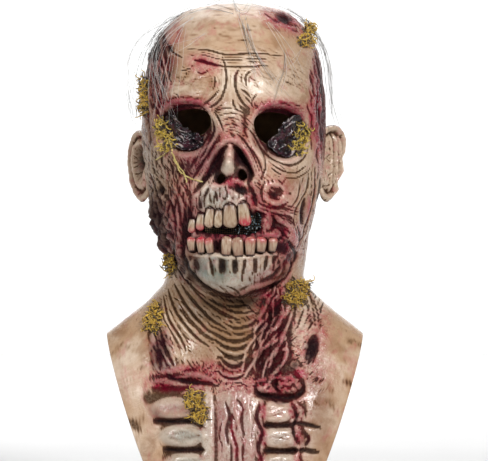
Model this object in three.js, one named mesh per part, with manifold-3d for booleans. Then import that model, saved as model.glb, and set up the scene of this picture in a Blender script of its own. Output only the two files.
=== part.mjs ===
// A full-head zombie mask in cast latex: skull, ears, neck and chest bib in one hollow shell,
// with tufts of moss, dried film in the eye sockets and a black net behind the mouth.
// Millimetres, +Z up, the face looks along -Y. The origin is the inside of the crown,
// where the mask sits on the wearer's head.
import * as THREE from "three";
import { mergeVertices } from "three/addons/utils/BufferGeometryUtils.js";
import Module from "manifold-3d";

const wasm = await Module();
wasm.setup();

// Driving sizes of the shell
const WALL = 2.4; // latex wall
const HEAD_HALF = 84; // midline to temple
const FACE_REACH = 96; // vertical axis to brow
const BACK_REACH = 109; // vertical axis to the back of the skull
const CHIN_DROP = 270; // crown to the underside of the chin
const NECK_HALF = 63.5;
const NECK_FRONT = 57; // axis to throat
const NECK_BACK = 70; // axis to nape
const SHOULDER_HALF = 118; // midline to the hem on the shoulder
const BIB_FRONT = 94; // axis to the bottom of the bib
const BIB_BACK = 98; // axis to the hem behind
const BIB_DROP = 210; // chin to the bottom of the bib
const SHOULDER_DROP = 33; // chin to the hem on the shoulder
const NAPE_DROP = 100; // chin to the hem behind

// Driving sizes of the smaller pieces
const GAP = 0.3; // between pieces that touch
const EAR_HEIGHT = 72;
const EAR_WIDTH = 33;
const EAR_THICKNESS = 6;
const TOOTH_DEPTH = 7;
const TUFT_LENGTH = 30;
const FILM_THICKNESS = 1.2;
const FILM_RIPPLE = 2;
const NET_THICKNESS = 1.2;

// Facets round the shell, outside and inside
const OUTER_COLUMNS = 42;
const INNER_COLUMNS = 32;
const LINING_REACH = 5; // how far round a point the lining looks for the lowest relief
const FRONT_CROWDING = 0.5; // how much closer together the columns of the face stand

const RADIANS = Math.PI / 180;

function table(columns, rows) {
  const names = columns.split(" ");
  return rows.map((row) => Object.fromEntries(names.map((name, i) => [name, row[i]])));
}

// Skull and neck, from the crown down. Drop is a share of CHIN_DROP, left and right of HEAD_HALF,
// front of FACE_REACH and back of BACK_REACH. Facets and lining are the rows of facets to the next
// section, outside and inside.
const SKULL = table("facets lining drop left right front back", [
  [1, 1, 0.006, 0.24, 0.24, 0.21, 0.2],
  [1, 1, 0.019, 0.43, 0.43, 0.4, 0.385],
  [1, 1, 0.037, 0.583, 0.595, 0.54, 0.53],
  [1, 1, 0.074, 0.726, 0.738, 0.7, 0.69],
  [1, 1, 0.119, 0.84, 0.84, 0.81, 0.8],
  [2, 1, 0.17, 0.93, 0.917, 0.9, 0.89],
  [2, 1, 0.23, 0.976, 0.958, 0.958, 0.954],
  [2, 2, 0.296, 1.0, 0.982, 0.99, 0.99],
  [3, 2, 0.37, 1.018, 1.0, 1.0, 1.0],
  [3, 2, 0.444, 1.018, 1.0, 0.98, 0.98],
  [3, 1, 0.519, 1.0, 0.988, 0.95, 0.927],
  [3, 1, 0.593, 0.976, 0.964, 0.917, 0.853],
  [2, 1, 0.667, 0.946, 0.923, 0.875, 0.77],
  [2, 1, 0.741, 0.905, 0.857, 0.81, 0.706],
  [2, 1, 0.796, 0.845, 0.81, 0.75, 0.67],
  [2, 1, 0.844, 0.786, 0.786, 0.69, 0.651],
  [2, 1, 0.889, 0.756, 0.768, 0.635, 0.642],
]);

// Neck and bib, from the neck to the hem. Each drop is a share of that side's own drop, from the
// neck's top at -0.09; side, front and back are shares of the way from the neck's size to the hem's.
const BIB = table("facets lining frontDrop sideDrop backDrop side front back", [
  [2, 1, -0.09, -0.64, -0.2, 0.0, 0.0, 0.0],
  [2, 2, -0.035, -0.52, -0.14, 0.01, -0.05, 0.03],
  [1, 2, 0.0, -0.42, -0.08, 0.03, -0.08, 0.07],
  [1, 1, 0.02, -0.33, -0.02, 0.06, -0.08, 0.12],
  [1, 1, 0.06, -0.22, 0.06, 0.12, -0.07, 0.2],
  [2, 1, 0.12, -0.07, 0.16, 0.21, -0.03, 0.3],
  [2, 1, 0.21, 0.12, 0.28, 0.33, 0.07, 0.45],
  [2, 2, 0.31, 0.3, 0.4, 0.46, 0.2, 0.6],
  [3, 2, 0.41, 0.47, 0.52, 0.58, 0.4, 0.73],
  [4, 2, 0.53, 0.63, 0.65, 0.7, 0.6, 0.83],
  [3, 2, 0.67, 0.78, 0.78, 0.82, 0.78, 0.91],
  [2, 2, 0.83, 0.9, 0.9, 0.92, 0.9, 0.96],
  [0, 0, 1.0, 1.0, 1.0, 1.0, 1.0, 1.0],
]);
const BIB_FLAT = 22 * RADIANS; // half angle over which the bib keeps its full length
const BIB_EDGE = 92 * RADIANS; // half angle at which its edge meets the shoulder hem

// The front of the face and the jaw, which stand out of the skull and neck as ellipses. Drop is a
// share of CHIN_DROP, half of HEAD_HALF and reach of FACE_REACH.
const JAW = table("drop half reach", [
  [0.37, 0.6, 0.9],
  [0.444, 0.7, 0.96],
  [0.519, 0.77, 0.985],
  [0.593, 0.79, 1.005],
  [0.667, 0.77, 1.02],
  [0.741, 0.74, 1.035],
  [0.796, 0.71, 1.045],
  [0.844, 0.67, 1.05],
  [0.889, 0.58, 1.05],
  [0.926, 0.5, 1.04],
  [0.956, 0.41, 1.005],
  [0.978, 0.32, 0.95],
  [0.99, 0.25, 0.87],
  [0.996, 0.2, 0.8],
]);
const JAW_CENTRE = 0.38; // of its reach
const JAW_BLEND = 5; // rounding between jaw and neck

// Swells and hollows of the face. X and wide are shares of HEAD_HALF, drop and high of CHIN_DROP,
// rise of FACE_REACH; edge 1 is soft and 2 is firm. X is positive on the wearer's left.
const FACE_FORMS = table("name x drop wide high rise edge", [
  ["brow_right", -0.5, 0.315, 0.33, 0.04, 0.04, 1],
  ["brow_left", 0.48, 0.325, 0.33, 0.04, 0.04, 1],
  ["frown", -0.04, 0.32, 0.15, 0.05, 0.03, 1],
  ["socket_right", -0.55, 0.425, 0.31, 0.088, -0.17, 2],
  ["socket_left", 0.5, 0.44, 0.31, 0.094, -0.17, 2],
  ["bridge", -0.04, 0.43, 0.13, 0.08, 0.1, 1],
  ["nose_rim_right", -0.25, 0.565, 0.09, 0.075, 0.05, 1],
  ["nose_rim_left", 0.18, 0.555, 0.09, 0.08, 0.05, 1],
  ["nose_cavity", -0.04, 0.565, 0.17, 0.075, -0.09, 2],
  ["cartilage", -0.07, 0.555, 0.075, 0.05, 0.13, 1],
  ["cheekbone_right", -0.7, 0.56, 0.2, 0.05, 0.04, 1],
  ["cheekbone_left", 0.68, 0.565, 0.2, 0.05, 0.05, 1],
  ["cheek_right", -0.72, 0.72, 0.16, 0.07, -0.05, 1],
  ["cheek_left", 0.72, 0.7, 0.14, 0.08, -0.03, 1],
  ["crater_rim", 0.44, 0.655, 0.17, 0.05, 0.05, 1],
  ["crater_pit", 0.44, 0.655, 0.075, 0.024, -0.09, 1],
  ["upper_gum", -0.15, 0.67, 0.3, 0.045, 0.05, 1],
  ["mouth_corner", 0.3, 0.75, 0.14, 0.035, -0.08, 1],
  ["mouth_hollow", -0.1, 0.772, 0.42, 0.018, -0.06, 2],
  ["lower_gum", 0.02, 0.87, 0.5, 0.022, -0.02, 1],
  ["chin", -0.06, 0.935, 0.36, 0.045, 0.05, 1],
  ["temple_right", -0.93, 0.36, 0.12, 0.1, -0.03, 1],
  ["temple_left", 0.93, 0.36, 0.12, 0.1, -0.03, 1],
]);

// Creases and ridges of the face, each a curve through a start, a bend and an end. X and width are
// shares of HEAD_HALF, drops of CHIN_DROP and rise of FACE_REACH.
const FACE_FOLDS = table("name x1 drop1 x2 drop2 x3 drop3 width rise", [
  ["forehead_crease_upper", -0.55, 0.16, 0.0, 0.175, 0.5, 0.18, 0.04, -0.012],
  ["forehead_crease_lower", -0.6, 0.2, -0.1, 0.22, 0.4, 0.215, 0.04, -0.015],
  ["frown_line_right", -0.12, 0.2, -0.05, 0.29, -0.22, 0.35, 0.04, -0.02],
  ["frown_line_left", 0.04, 0.22, -0.02, 0.3, 0.12, 0.35, 0.04, -0.02],
  ["lid_left_under", 0.3, 0.53, 0.55, 0.6, 0.78, 0.54, 0.06, 0.02],
  ["nose_fold_left", 0.16, 0.42, 0.36, 0.52, 0.36, 0.62, 0.05, -0.02],
  ["nose_fold_right", -0.22, 0.42, -0.4, 0.53, -0.42, 0.64, 0.06, 0.03],
  ["lip_roll", 0.26, 0.69, 0.5, 0.74, 0.62, 0.84, 0.08, 0.06],
  ["cheek_band_a", -0.66, 0.62, -0.74, 0.74, -0.64, 0.86, 0.06, 0.035],
  ["cheek_band_b", -0.84, 0.62, -0.88, 0.74, -0.76, 0.84, 0.06, 0.03],
  ["jaw_edge_right", -0.52, 0.8, -0.54, 0.91, -0.3, 0.99, 0.06, 0.03],
  ["jaw_edge_left", 0.62, 0.84, 0.56, 0.93, 0.3, 0.96, 0.06, 0.03],
]);

// Neck and chest. X, wide and width are shares of SHOULDER_HALF, drop and high of BIB_DROP below
// the chin, rise of BIB_FRONT.
const CHEST_FORMS = table("name x drop wide high rise edge", [
  ["throat_pit", -0.02, 0.31, 0.1, 0.035, -0.05, 1],
  ["collar_right", -0.4, 0.31, 0.25, 0.05, 0.04, 1],
  ["collar_wound", -0.44, 0.39, 0.24, 0.04, -0.035, 1],
  ["torn_pit", 0.42, 0.385, 0.12, 0.04, -0.07, 1],
  ["torn_lump", 0.38, 0.36, 0.05, 0.03, 0.08, 1],
  ["gash", 0.61, 0.245, 0.06, 0.05, -0.06, 1],
  ["breastbone", -0.03, 0.75, 0.22, 0.3, 0.05, 2],
  ["breastbone_hollow", 0.05, 0.72, 0.09, 0.24, -0.05, 2],
  ["rib_right_1", -0.49, 0.48, 0.18, 0.042, 0.055, 1],
  ["rib_right_2", -0.44, 0.61, 0.18, 0.046, 0.06, 1],
  ["rib_right_3", -0.42, 0.735, 0.17, 0.046, 0.06, 1],
  ["rib_right_4", -0.4, 0.86, 0.16, 0.046, 0.05, 1],
  ["rib_left_1", 0.34, 0.505, 0.12, 0.042, 0.055, 1],
  ["rib_left_2", 0.38, 0.62, 0.13, 0.044, 0.06, 1],
  ["rib_left_3", 0.39, 0.745, 0.14, 0.046, 0.06, 1],
  ["rib_left_4", 0.37, 0.87, 0.13, 0.046, 0.05, 1],
  ["skin_flap", 0.66, 0.6, 0.12, 0.3, 0.05, 2],
]);
const CHEST_FOLDS = table("name x1 drop1 x2 drop2 x3 drop3 width rise", [
  ["throat_fold_1", -0.3, 0.06, 0.0, 0.28, 0.3, 0.1, 0.035, 0.03],
  ["throat_fold_2", -0.28, 0.13, 0.0, 0.36, 0.24, 0.17, 0.035, 0.035],
  ["throat_fold_3", -0.16, 0.22, -0.01, 0.36, 0.14, 0.24, 0.03, 0.03],
  ["neck_fold_right_1", -0.48, 0.0, -0.4, 0.14, -0.12, 0.3, 0.04, 0.03],
  ["neck_fold_right_2", -0.62, 0.14, -0.56, 0.2, -0.48, 0.32, 0.04, 0.03],
  ["torn_rope", 0.22, 0.03, 0.36, 0.14, 0.26, 0.32, 0.05, -0.04],
  ["torn_edge", 0.5, 0.14, 0.34, 0.2, 0.2, 0.3, 0.05, 0.05],
]);

// Teeth: place, width and height of the crown, and its lean in degrees. X and wide are shares of
// HEAD_HALF, drop and high of CHIN_DROP.
const TEETH = table("row x drop wide high lean", [
  ["upper", -0.452, 0.757, 0.075, 0.04, 4],
  ["upper", -0.37, 0.744, 0.075, 0.044, 5],
  ["upper", -0.277, 0.73, 0.085, 0.056, 7],
  ["upper", -0.175, 0.731, 0.075, 0.05, 4],
  ["upper", -0.055, 0.722, 0.125, 0.072, -2],
  ["upper", 0.093, 0.718, 0.105, 0.068, -8],
  ["lower", -0.463, 0.822, 0.08, 0.046, -4],
  ["lower", -0.36, 0.822, 0.085, 0.05, -4],
  ["lower", -0.272, 0.827, 0.085, 0.05, -6],
  ["lower", -0.09, 0.829, 0.105, 0.056, 3],
  ["lower", 0.02, 0.83, 0.105, 0.06, -4],
  ["lower", 0.16, 0.83, 0.1, 0.058, 2],
  ["lower", 0.27, 0.827, 0.1, 0.052, 3],
  ["lower", 0.4, 0.822, 0.09, 0.044, 5],
]);

// Openings through the face, as outlines of x and drop in shares of HEAD_HALF and CHIN_DROP
const OPENINGS = {
  eye_right: [[-0.64, 0.372], [-0.45, 0.36], [-0.31, 0.37], [-0.265, 0.4], [-0.31, 0.44], [-0.42, 0.462], [-0.6, 0.45], [-0.67, 0.41]],
  eye_left: [[0.25, 0.39], [0.4, 0.372], [0.58, 0.378], [0.66, 0.41], [0.64, 0.46], [0.5, 0.49], [0.33, 0.475], [0.215, 0.425]],
  nostril_right: [[-0.2, 0.6], [-0.15, 0.572], [-0.105, 0.6], [-0.12, 0.622], [-0.18, 0.622]],
  nostril_left: [[0.03, 0.578], [0.08, 0.562], [0.13, 0.58], [0.12, 0.605], [0.05, 0.605]],
  mouth: [[-0.32, 0.765], [-0.1, 0.762], [0.08, 0.757], [0.17, 0.735], [0.25, 0.712], [0.29, 0.74], [0.24, 0.775], [0.08, 0.787], [-0.3, 0.785]],
};

// The net behind the mouth, in the same shares
const NET_OUTLINE = [[-0.42, 0.755], [-0.3, 0.735], [0.1, 0.7], [0.34, 0.695], [0.4, 0.74], [0.34, 0.79], [0.1, 0.81], [-0.36, 0.81]];

// Tufts of moss, on the outside of the shell. Angle is in degrees round the axis from the middle of
// the face, drop a share of CHIN_DROP, and wide, high and bulk are shares of TUFT_LENGTH.
const MOSS = table("name angle drop wide high bulk", [
  ["moss_scalp", 72, 0.112, 0.57, 0.63, 0.3],
  ["moss_temple", -99, 0.305, 0.6, 1.2, 0.2],
  ["moss_eye_right", -41, 0.465, 0.5, 1.0, 0.3],
  ["moss_eye_left", 39, 0.468, 0.57, 1.07, 0.3],
  ["moss_jaw", -65, 0.89, 0.4, 0.67, 0.2],
  ["moss_neck_left", 50, 0.985, 0.87, 0.8, 0.33],
  ["moss_neck_right", -66, 1.06, 0.57, 1.0, 0.27],
  ["moss_chest", -26, 1.375, 0.8, 1.03, 0.37],
]);

// Dried film across the outer part of each socket, as an oval over the shell
const FILMS = table("name x drop wide high turn", [
  ["film_right", -0.56, 0.462, 0.2, 0.05, 24],
  ["film_left", 0.53, 0.466, 0.2, 0.05, -32],
]);

function mix(a, b, t) {
  return a + (b - a) * t;
}

function smoothstep(low, high, value) {
  const t = Math.min(1, Math.max(0, (value - low) / (high - low)));
  return t * t * (3 - 2 * t);
}

// The sections as lengths, from the crown's point to the hem
function sections() {
  const crown = { facets: 1, lining: 1, frontDrop: 0, sideDrop: 0, backDrop: 0, left: 0, right: 0, front: 0, back: 0 };
  const skull = SKULL.map((row) => ({
    facets: row.facets,
    lining: row.lining,
    frontDrop: row.drop * CHIN_DROP,
    sideDrop: row.drop * CHIN_DROP,
    backDrop: row.drop * CHIN_DROP,
    left: row.left * HEAD_HALF,
    right: row.right * HEAD_HALF,
    front: row.front * FACE_REACH,
    back: row.back * BACK_REACH,
  }));
  const bib = BIB.map((row) => ({
    facets: row.facets,
    lining: row.lining,
    frontDrop: CHIN_DROP + row.frontDrop * BIB_DROP,
    sideDrop: CHIN_DROP + row.sideDrop * SHOULDER_DROP,
    backDrop: CHIN_DROP + row.backDrop * NAPE_DROP,
    left: mix(NECK_HALF, SHOULDER_HALF, row.side),
    right: mix(NECK_HALF, SHOULDER_HALF, row.side),
    front: mix(NECK_FRONT, BIB_FRONT, row.front),
    back: mix(NECK_BACK, BIB_BACK, row.back),
  }));
  return [crown, ...skull, ...bib];
}
const SECTIONS = sections();
const LAST = SECTIONS.length - 1;

// A section between two rows of the table, on a smooth curve through the rows. Level counts rows.
function sectionAt(level) {
  const i = Math.min(LAST - 1, Math.max(0, Math.floor(level)));
  const t = level - i;
  const rows = [i - 1, i, i + 1, i + 2].map((n) => SECTIONS[Math.min(LAST, Math.max(0, n))]);
  const out = {};
  for (const key of ["frontDrop", "sideDrop", "backDrop", "left", "right", "front", "back"]) {
    const [a, b, c, d] = rows.map((row) => row[key]);
    out[key] = b + 0.5 * t * (c - a + t * (2 * a - 5 * b + 4 * c - d + t * (3 * (b - c) + d - a)));
  }
  return out;
}

function valueAt(rows, key, drop) {
  let i = 0;
  while (i < rows.length - 2 && rows[i + 1].drop < drop) i += 1;
  const t = (drop - rows[i].drop) / (rows[i + 1].drop - rows[i].drop);
  return mix(rows[i][key], rows[i + 1][key], Math.min(1, Math.max(0, t)));
}

// How far the jaw's ellipse at this drop reaches from the axis, towards this angle
function jawReach(angle, drop) {
  const share = drop / CHIN_DROP;
  if (share < JAW[0].drop || share > JAW[JAW.length - 1].drop) return 0;
  const reach = valueAt(JAW, "reach", share) * FACE_REACH;
  const half = valueAt(JAW, "half", share) * HEAD_HALF;
  const centre = JAW_CENTRE * reach;
  const depth = reach - centre;
  const across = Math.sin(angle) / half;
  const along = Math.cos(angle) / depth;
  const a = across * across + along * along;
  const b = (-2 * along * centre) / depth;
  const c = (centre / depth) ** 2 - 1;
  const root = b * b - 4 * a * c;
  return root <= 0 ? 0 : Math.max(0, (-b + Math.sqrt(root)) / (2 * a));
}

function smoothMax(a, b, blend) {
  const share = Math.max(0, blend - Math.abs(a - b)) / blend;
  return Math.max(a, b) + 0.25 * blend * share * share;
}

// The smooth form under the relief: a point at an angle from the middle of the face
function basePoint(angle, level) {
  const s = sectionAt(level);
  const away = Math.abs(angle);
  const front = 1 - smoothstep(BIB_FLAT, BIB_EDGE, away);
  const back = smoothstep(BIB_EDGE, Math.PI - BIB_FLAT, away);
  const drop = s.sideDrop + (s.frontDrop - s.sideDrop) * front + (s.backDrop - s.sideDrop) * back;
  const half = angle < 0 ? s.left : s.right;
  const depth = Math.cos(angle) > 0 ? s.front : s.back;
  let reach = 0;
  if (half > 0) {
    reach = 1 / Math.hypot(Math.sin(angle) / half, Math.cos(angle) / depth);
    reach = smoothMax(reach, jawReach(angle, drop), JAW_BLEND);
  }
  return new THREE.Vector3(reach * Math.sin(angle), -reach * Math.cos(angle), WALL - drop);
}

function baseNormal(angle, level) {
  const turn = 0.02;
  const step = 0.05;
  const across = basePoint(angle + turn, level).sub(basePoint(angle - turn, level));
  const down = basePoint(angle, Math.min(LAST, level + step)).sub(basePoint(angle, Math.max(0.02, level - step)));
  const normal = down.cross(across);
  return normal.lengthSq() > 0 && level > 0 ? normal.normalize() : new THREE.Vector3(0, 0, 1);
}

const FOLD_STEPS = 10;

function foldDistance(fold, x, drop, unitX, unitDrop) {
  let least = Infinity;
  for (let i = 0; i <= FOLD_STEPS; i += 1) {
    const t = i / FOLD_STEPS;
    const a = (1 - t) * (1 - t);
    const b = 2 * t * (1 - t);
    const c = t * t;
    const dx = (a * fold.x1 + b * fold.x2 + c * fold.x3) * unitX - x;
    const dy = (a * fold.drop1 + b * fold.drop2 + c * fold.drop3) * unitDrop - drop;
    least = Math.min(least, Math.hypot(dx, dy));
  }
  return least;
}

// Height of the relief over the smooth form at x and a drop, from one table of forms and one of folds
function reliefOf(forms, folds, x, drop, units) {
  let rise = 0;
  for (const form of forms) {
    const across = (x - form.x * units.x) / (form.wide * units.x);
    const along = (drop - form.drop * units.drop) / (form.high * units.drop);
    const q = across * across + along * along;
    rise += form.rise * units.rise * Math.exp(-(q ** form.edge));
  }
  for (const fold of folds) {
    const q = foldDistance(fold, x, drop, units.x, units.drop) / (fold.width * units.x);
    rise += fold.rise * units.rise * Math.exp(-q * q);
  }
  return rise;
}

const FACE_UNITS = { x: HEAD_HALF, drop: CHIN_DROP, rise: FACE_REACH };
const CHEST_UNITS = { x: SHOULDER_HALF, drop: BIB_DROP, rise: BIB_FRONT };

function relief(x, y, drop) {
  if (y > 0) return 0;
  const face = reliefOf(FACE_FORMS, FACE_FOLDS, x, drop, FACE_UNITS);
  const chest = reliefOf(CHEST_FORMS, CHEST_FOLDS, x, drop - CHIN_DROP, CHEST_UNITS);
  return face + chest;
}

// A point of the shell's outer face, raised by lift
function skin(angle, level, lift) {
  const point = basePoint(angle, level);
  const rise = relief(point.x, point.y, WALL - point.z);
  return point.addScaledVector(baseNormal(angle, level), rise + lift);
}

// A point of the lining raised by lift. It follows the lowest relief around it, so that the wall is
// never thin.
function lining(angle, level, lift) {
  const point = basePoint(angle, level);
  let rise = Infinity;
  for (const across of [-LINING_REACH, 0, LINING_REACH]) {
    for (const down of [-LINING_REACH, 0, LINING_REACH]) {
      rise = Math.min(rise, relief(point.x + across, point.y, WALL - point.z + down));
    }
  }
  return point.addScaledVector(baseNormal(angle, level), rise - WALL + lift);
}

// The angle and level of the smooth form at an angle and drop
function levelAt(angle, drop) {
  let low = 0;
  let high = LAST;
  for (let i = 0; i < 30; i += 1) {
    const middle = (low + high) / 2;
    if (WALL - basePoint(angle, middle).z < drop) low = middle;
    else high = middle;
  }
  return (low + high) / 2;
}

// The angle and level of the smooth form at x and a drop, on the front
function placeAt(x, drop) {
  let angle = 0;
  let level = 0;
  for (let i = 0; i < 20; i += 1) {
    level = levelAt(angle, drop);
    const point = basePoint(angle, level);
    angle = Math.asin(Math.max(-1, Math.min(1, x / Math.hypot(point.x, point.y))));
  }
  return { angle, level };
}

// A closed body from a grid of points: rings from a first point down to a last ring, which is capped
function closedRings(top, rings) {
  const columns = rings[0].length;
  const points = [top, ...rings.flat()];
  const faces = [];
  const at = (row, column) => 1 + row * columns + (column % columns);
  for (let c = 0; c < columns; c += 1) faces.push(0, at(0, c), at(0, c + 1));
  for (let r = 0; r + 1 < rings.length; r += 1) {
    for (let c = 0; c < columns; c += 1) {
      faces.push(at(r, c), at(r + 1, c), at(r + 1, c + 1), at(r, c), at(r + 1, c + 1), at(r, c + 1));
    }
  }
  const last = rings.length - 1;
  const middle = new THREE.Vector3();
  rings[last].forEach((point) => middle.addScaledVector(point, 1 / columns));
  points.push(middle);
  for (let c = 0; c < columns; c += 1) faces.push(points.length - 1, at(last, c + 1), at(last, c));
  return solidFrom(points, faces);
}

function solidFrom(points, faces) {
  return new wasm.Manifold(
    new wasm.Mesh({
      numProp: 3,
      vertProperties: new Float32Array(points.flatMap((p) => [p.x, p.y, p.z])),
      triVerts: new Uint32Array(faces),
    }),
  );
}

// A three.js geometry, with its transform applied, as a solid for cutting and joining
function solidOf(geometry) {
  const plain = (geometry.index ? geometry.toNonIndexed() : geometry).clone();
  plain.deleteAttribute("normal");
  plain.deleteAttribute("uv");
  const merged = mergeVertices(plain, 1e-4);
  return new wasm.Manifold(
    new wasm.Mesh({
      numProp: 3,
      vertProperties: merged.attributes.position.array,
      triVerts: new Uint32Array(merged.index.array),
    }),
  );
}

function geometryOf(solid) {
  const mesh = solid.getMesh();
  const geometry = new THREE.BufferGeometry();
  geometry.setAttribute("position", new THREE.BufferAttribute(mesh.vertProperties, 3));
  geometry.setIndex(new THREE.BufferAttribute(mesh.triVerts, 1));
  return geometry;
}

// The space inside a face of the shell raised by lift, from the crown to the hem and on down by an
// extra length
function filledForm(face, columns, rowsKey, lift, extra) {
  const rings = [];
  for (let i = 1; i <= LAST; i += 1) {
    const rows = Math.max(1, SECTIONS[i][rowsKey]);
    for (let k = 0; k < rows && (i < LAST || k === 0); k += 1) {
      const level = i + k / rows;
      rings.push(
        Array.from({ length: columns }, (_, c) => {
          const t = (2 * c) / columns - 1;
          const angle = Math.PI * ((1 - FRONT_CROWDING) * t + FRONT_CROWDING * t ** 3);
          return face(angle, level, lift);
        }),
      );
    }
  }
  if (extra) {
    rings.push(rings[rings.length - 1].map((p) => p.clone().add(new THREE.Vector3(0, 0, -extra))));
  }
  return closedRings(face(0, 0, lift), rings);
}

// A prism through the front wall, from an outline of x and drop
function frontCutter(outline) {
  const points = outline.map(([x, drop]) => new THREE.Vector2(x * HEAD_HALF, WALL - drop * CHIN_DROP));
  const depth = FACE_REACH * 0.8;
  const geometry = new THREE.ExtrudeGeometry(new THREE.Shape(points), { depth, bevelEnabled: false });
  geometry.rotateX(Math.PI / 2);
  geometry.translate(0, -FACE_REACH * 0.5, 0);
  return solidOf(geometry);
}

// One tooth: a rounded block standing out of the gum
function tooth(row) {
  const wide = row.wide * HEAD_HALF;
  const high = row.high * CHIN_DROP;
  const geometry = new THREE.SphereGeometry(1, 8, 4);
  const position = geometry.attributes.position;
  const square = 0.65;
  for (let i = 0; i < position.count; i += 1) {
    const v = new THREE.Vector3().fromBufferAttribute(position, i);
    const round = (value, size) => Math.sign(value) * Math.abs(value) ** square * size;
    position.setXYZ(i, round(v.x, wide / 2), round(v.z, TOOTH_DEPTH / 2), round(v.y, high / 2));
  }
  geometry.index.array.reverse();
  const place = placeAt(row.x * HEAD_HALF, row.drop * CHIN_DROP);
  const seat = skin(place.angle, place.level, 0.15 * TOOTH_DEPTH);
  geometry.rotateY(row.lean * RADIANS);
  geometry.rotateZ(place.angle);
  geometry.translate(seat.x, seat.y, seat.z);
  return solidOf(geometry);
}

const EAR_DROP = 0.545; // middle of the ear, as a share of CHIN_DROP
const EAR_ANGLE = 97 * RADIANS;
const EAR_FLARE = 33 * RADIANS; // how far it stands off the head

// One ear: a bevelled outline with its bowl pressed in, leaning out from the side of the head
function ear(side) {
  const h = EAR_HEIGHT / 2;
  const w = EAR_WIDTH;
  const outline = new THREE.Shape();
  outline.moveTo(-0.2 * w, -0.85 * h);
  outline.bezierCurveTo(0.25 * w, -1.1 * h, 0.55 * w, -0.7 * h, 0.75 * w, -0.1 * h);
  outline.bezierCurveTo(1.05 * w, 0.5 * h, 0.95 * w, 1.05 * h, 0.3 * w, 0.98 * h);
  outline.bezierCurveTo(0.05 * w, 0.95 * h, -0.15 * w, 0.8 * h, -0.3 * w, 0.5 * h);
  outline.closePath();
  const rim = EAR_THICKNESS / 4;
  const geometry = new THREE.ExtrudeGeometry(outline, {
    depth: EAR_THICKNESS - 2 * rim,
    bevelThickness: rim,
    bevelSize: rim,
    bevelSegments: 1,
    curveSegments: 6,
  });
  geometry.translate(0, 0, -EAR_THICKNESS / 2);
  const bowl = new THREE.SphereGeometry(1, 12, 6);
  bowl.scale(0.27 * w, 0.55 * h, 0.5 * EAR_THICKNESS);
  bowl.translate(0.36 * w, 0.2 * h, 0.55 * EAR_THICKNESS);
  const solid = solidOf(geometry).subtract(solidOf(bowl));
  const level = levelAt(EAR_ANGLE, EAR_DROP * CHIN_DROP);
  const seat = skin(side * EAR_ANGLE, level, 0);
  // The outline's plane stands upright, its width runs back and out, and its bowl faces forward
  const out = new THREE.Vector3(side * Math.sin(EAR_FLARE), Math.cos(EAR_FLARE), 0);
  const up = new THREE.Vector3(0, 0, 1);
  const face = new THREE.Vector3().crossVectors(out, up).multiplyScalar(side);
  const placed = geometryOf(solid);
  if (side < 0) {
    placed.index.array.reverse();
  }
  placed.applyMatrix4(new THREE.Matrix4().makeBasis(out, up, face).setPosition(seat));
  return solidOf(placed);
}

// A lump of moss sunk into the shell's face, from which the shell is still to be cut
function mossTuft(row) {
  const wide = row.wide * TUFT_LENGTH;
  const high = row.high * TUFT_LENGTH;
  const bulk = row.bulk * TUFT_LENGTH;
  const geometry = new THREE.IcosahedronGeometry(1, 1);
  const position = geometry.attributes.position;
  for (let i = 0; i < position.count; i += 1) {
    const v = new THREE.Vector3().fromBufferAttribute(position, i).normalize();
    const lump = 1 + 0.16 * Math.sin(7 * v.x + 3 * v.z) * Math.cos(6 * v.y - 2 * v.x + row.angle);
    position.setXYZ(i, (v.x * lump * wide) / 2, v.y * lump * bulk, (v.z * lump * high) / 2);
  }
  const angle = row.angle * RADIANS;
  const level = levelAt(angle, row.drop * CHIN_DROP);
  const seat = skin(angle, level, 0.1 * bulk);
  const normal = baseNormal(angle, level);
  const across = new THREE.Vector3(Math.cos(angle), Math.sin(angle), 0);
  const along = new THREE.Vector3().crossVectors(across, normal.clone().negate()).normalize();
  const side = new THREE.Vector3().crossVectors(normal.clone().negate(), along).normalize();
  geometry.applyMatrix4(new THREE.Matrix4().makeBasis(side, normal.clone().negate(), along).setPosition(seat));
  return solidOf(geometry);
}

// A thin sheet that follows the shell inside an oval of x and drop, between two lifts
function sheetOver(row, low, high, ripple) {
  const rings = 3;
  const spokes = 12;
  const sides = [low, high].map((lift) => {
    const points = [];
    for (let r = 0; r <= rings; r += 1) {
      for (let s = 0; s < (r ? spokes : 1); s += 1) {
        const a = (2 * Math.PI * s) / spokes;
        const turn = row.turn * RADIANS;
        const across = (r / rings) * Math.cos(a) * row.wide * HEAD_HALF;
        const along = (r / rings) * Math.sin(a) * row.high * CHIN_DROP;
        const x = row.x * HEAD_HALF + across * Math.cos(turn) - along * Math.sin(turn);
        const drop = row.drop * CHIN_DROP + across * Math.sin(turn) + along * Math.cos(turn);
        const place = placeAt(x, drop);
        const wave = ripple * (0.5 + 0.5 * Math.sin(3 * a + 2.2 * r));
        points.push(skin(place.angle, place.level, lift + wave));
      }
    }
    return points;
  });
  const at = (side, r, s) => side * sides[0].length + (r ? 1 + (r - 1) * spokes + (s % spokes) : 0);
  const faces = [];
  const add = (side, a, b, c) => faces.push(...(side ? [a, b, c] : [a, c, b]));
  for (const side of [0, 1]) {
    for (let s = 0; s < spokes; s += 1) {
      add(side, at(side, 0, 0), at(side, 1, s + 1), at(side, 1, s));
      for (let r = 1; r < rings; r += 1) {
        add(side, at(side, r, s), at(side, r, s + 1), at(side, r + 1, s));
        add(side, at(side, r, s + 1), at(side, r + 1, s + 1), at(side, r + 1, s));
      }
    }
  }
  for (let s = 0; s < spokes; s += 1) {
    const [a, b] = [at(0, rings, s), at(0, rings, s + 1)];
    const [c, d] = [at(1, rings, s), at(1, rings, s + 1)];
    faces.push(a, c, b, b, c, d);
  }
  return solidFrom(sides.flat(), faces);
}

// The largest body of a solid that a cut left in several
function largestOf(solid) {
  return solid.decompose().reduce((most, body) => (body.volume() > most.volume() ? body : most));
}

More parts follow.
